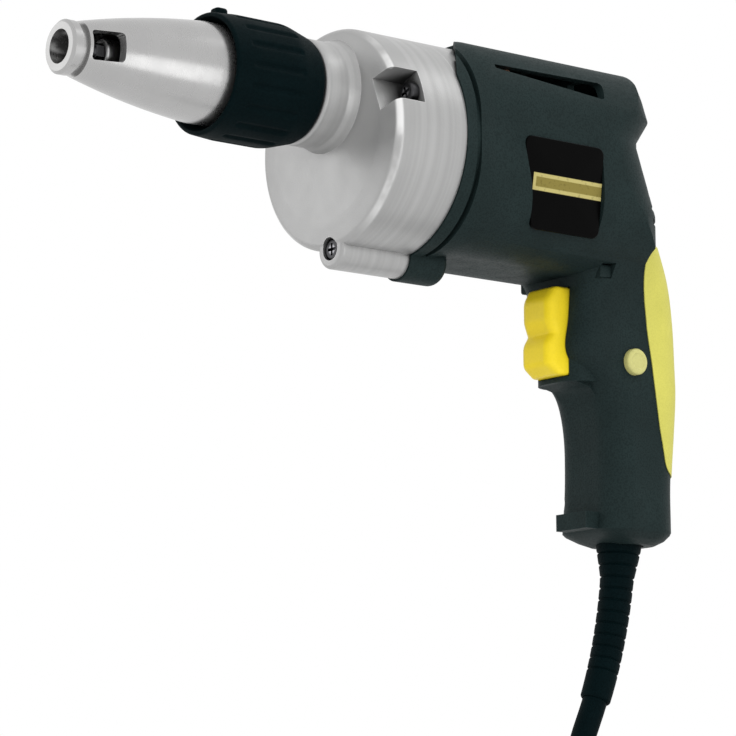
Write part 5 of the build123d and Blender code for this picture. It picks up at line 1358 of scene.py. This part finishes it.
@dataclass
class Springs:
    """Springs that shorten as the spindle, the trigger and the lock button move, made here at their free length."""

    wire: float = 0.7
    room: float = 0.02            # between a spring's end and its seat
    close: float = 1.04           # climb of an end turn, in wires
    per_turn: int = 56
    section_steps: int = 14
    coils: tuple[Coil, ...] = (
        Coil("clutch_spring", "spindle_push", (115.5, 0.0, SPINDLE_Z), (1.0, 0.0, 0.0), 4.7, 8.0, 4, 4.0),
        Coil("trigger_spring", "trigger_pull", (19.0, 0.0, 22.9), (1.0, 0.0, 0.0), 3.7, 15.5, 5, 6.5),
        Coil("lock_spring", "lock_press", (8.0, 4.0, 13.4), (0.0, 1.0, 0.0), 2.4, 8.4, 4, 2.2))

    def wound(self, coil: Coil) -> Skin:
        """Round wire wound on a helix whose end turns lie close.

        The line's point at a turn t is foot + h(t) d + r e(t), where d is the axis, e turns round it, and the
        height h climbs about one wire in the first and in the last turn and evenly between. A point of the
        wire, w in radius, is that point + w (cos b e + sin b d).

        Args:
            coil: the spring.

        Returns:
            The closed skin.
        """
        turn = np.linspace(0.0, coil.turns, self.per_turn * coil.turns + 1)
        low, high = self.wire / 2 + self.room, coil.length - self.wire / 2 - self.room
        climb = self.close * self.wire
        height = np.interp(turn, (0, 1, coil.turns - 1, coil.turns), (low, low + climb, high - climb, high))
        axis = np.array(coil.axis)
        across, up = np.roll(axis, 1), np.roll(axis, 2)
        angle = TURN * turn[:, None]
        outward = np.cos(angle) * across + np.sin(angle) * up
        line = np.array(coil.foot) + height[:, None] * axis + coil.radius * outward
        section = around(self.section_steps)[:, None]
        offset = np.cos(section) * outward[:, None] + np.sin(section) * axis
        grid = line[:, None] + self.wire / 2 * offset
        poles = np.repeat(line[[0, -1], None], len(section), axis=1)
        return Skin().sheet(np.concatenate([poles[:1], grid, poles[1:]]), close_columns=True)

    def build(self, shop: Workshop) -> None:
        """Make each spring.

        Args:
            shop: where pieces are fitted.
        """
        for coil in self.coils:
            piece = shop.fit(self.wound(coil).build(f"{coil.node}_wire"), coil.node)
            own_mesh(piece)


@dataclass(frozen=True)
class Lamp:
    """Oblong soft lamp."""

    name: str
    place: Triple                 # metres, as all sizes of the studio
    size: Pair
    power: float                  # watts
    mirrored: bool = False        # whether it shows in reflections

    def hang(self, target: Triple) -> None:
        """Put the lamp into the scene.

        Args:
            target: the point that it faces.
        """
        data = bpy.data.lights.new(self.name, "AREA")
        data.shape = "RECTANGLE"
        data.size, data.size_y = self.size
        data.energy = self.power
        lamp = placed(self.name, data)
        lamp.visible_glossy = self.mirrored
        turn = (Vector(target) - Vector(self.place)).to_track_quat("-Z", "Y")
        lamp.matrix_world = Matrix.Translation(self.place) @ turn.to_matrix().to_4x4()


@dataclass
class Studio:
    """Camera at the photograph's angle, soft lamps, a white surround and a pale floor."""

    eye: Triple = (0.7906, 0.8493, -0.1835)
    back: Triple = (0.6127, 0.7721, -0.1685)        # from the tool to the eye
    roll: float = -0.349          # degrees
    sensor: float = 36.0          # millimetres
    clip: Pair = (0.01, 100.0)    # nearest and farthest that the camera sees
    focal: float = 3206.06 / 736  # focal length in widths of the picture
    target: Triple = (0.1, 0.0, 0.03)               # what the lamps face
    lamps: tuple[Lamp, ...] = (
        Lamp("key", (0.8, 1.1, 0.5), (0.9, 0.9), 8.0),
        Lamp("top", (0.0, 0.2, 1.3), (1.2, 1.2), 5.0),
        Lamp("right", (-1.1, 0.7, 0.4), (0.6, 0.6), 2.0),
        Lamp("face", (1.0, -1.1, 0.3), (0.8, 0.8), 1.4, mirrored=True),
        Lamp("band", (0.04, 0.60, -0.12), (0.25, 0.40), 0.45, mirrored=True),
        Lamp("shoulder", (-0.61, 0.42, 0.92), (0.4, 0.4), 0.75, mirrored=True))
    floor_level: float = -0.3215
    floor_size: float = 8.0
    surround: float = 0.62        # strength of the surround as a light

    def camera(self) -> None:
        """Set the camera from its eye point and the direction back to it."""
        data = bpy.data.cameras.new("camera")
        data.sensor_width = self.sensor
        data.lens = self.focal * self.sensor
        data.clip_start, data.clip_end = self.clip
        back = Vector(self.back).normalized()
        right = Vector((-back.y, back.x, 0.0)).normalized()
        turn = Matrix.Rotation(radians(self.roll), 3, back)
        axes = turn @ Matrix((right, back.cross(right), back)).transposed()
        view = placed("camera", data)
        view.matrix_world = Matrix.Translation(self.eye) @ axes.to_4x4()
        bpy.context.scene.camera = view

    def world(self) -> None:
        """White to the camera and in reflections, softer as a light."""
        world = bpy.data.worlds.new("surround")
        bpy.context.scene.world = world
        board = Board(world)
        seen = board.node("ShaderNodeLightPath", output="Is Camera Ray")
        for other in ("Is Glossy Ray", "Is Transmission Ray"):
            seen = board.maths("MAXIMUM", seen, board.node("ShaderNodeLightPath", output=other))
        white = (1.0, 1.0, 1.0, 1.0)
        light, backdrop = (board.node("ShaderNodeBackground", {}, {"Color": white, "Strength": strength})
                           for strength in (self.surround, 1.0))
        shader = board.node("ShaderNodeMixShader", {}, {0: seen, 1: light, 2: backdrop})
        board.close("ShaderNodeOutputWorld", shader)

    def floor(self) -> None:
        """Pale floor just under the plug's pins."""
        half = self.floor_size / 2
        square = ((-half, -half), (half, -half), (half, half), (-half, half))
        mesh = bpy.data.meshes.new("floor")
        mesh.from_pydata([(x, y, self.floor_level) for x, y in square], [], [(0, 1, 2, 3)])
        # the floor keeps the default painted shade, which darkens it just under the pins
        paint = Polymer("floor_paint", (0.86, 0.86, 0.86), 0.8, 0.1, 40.0, 0.0, 0.01, 0.0, pits=0.0)
        mesh.materials.append(paint.material())
        floor = placed("floor", mesh)
        floor.visible_glossy = False      # metal shows the white surround below too

    def build(self) -> None:
        """Set the camera, the light and the floor."""
        self.camera()
        self.world()
        for lamp in self.lamps:
            lamp.hang(self.target)
        self.floor()
        bpy.context.scene.view_settings.view_transform = "Standard"


def main() -> None:
    """Build the studio and the sub-assemblies in order."""
    logging.basicConfig(level=logging.INFO, format="%(message)s")
    Studio().build()
    shop = Workshop()
    cord = Cord()
    cord.build(shop)
    CordGuard().build(shop, cord.centreline())
    NoseGroup().build(shop)
    Collar().build(shop)
    GearCase().build(shop)
    Housing().build(shop)
    Controls().build(shop)
    Springs().build(shop)
    shop.dress_rest()


if __name__ == "__main__":
    main()
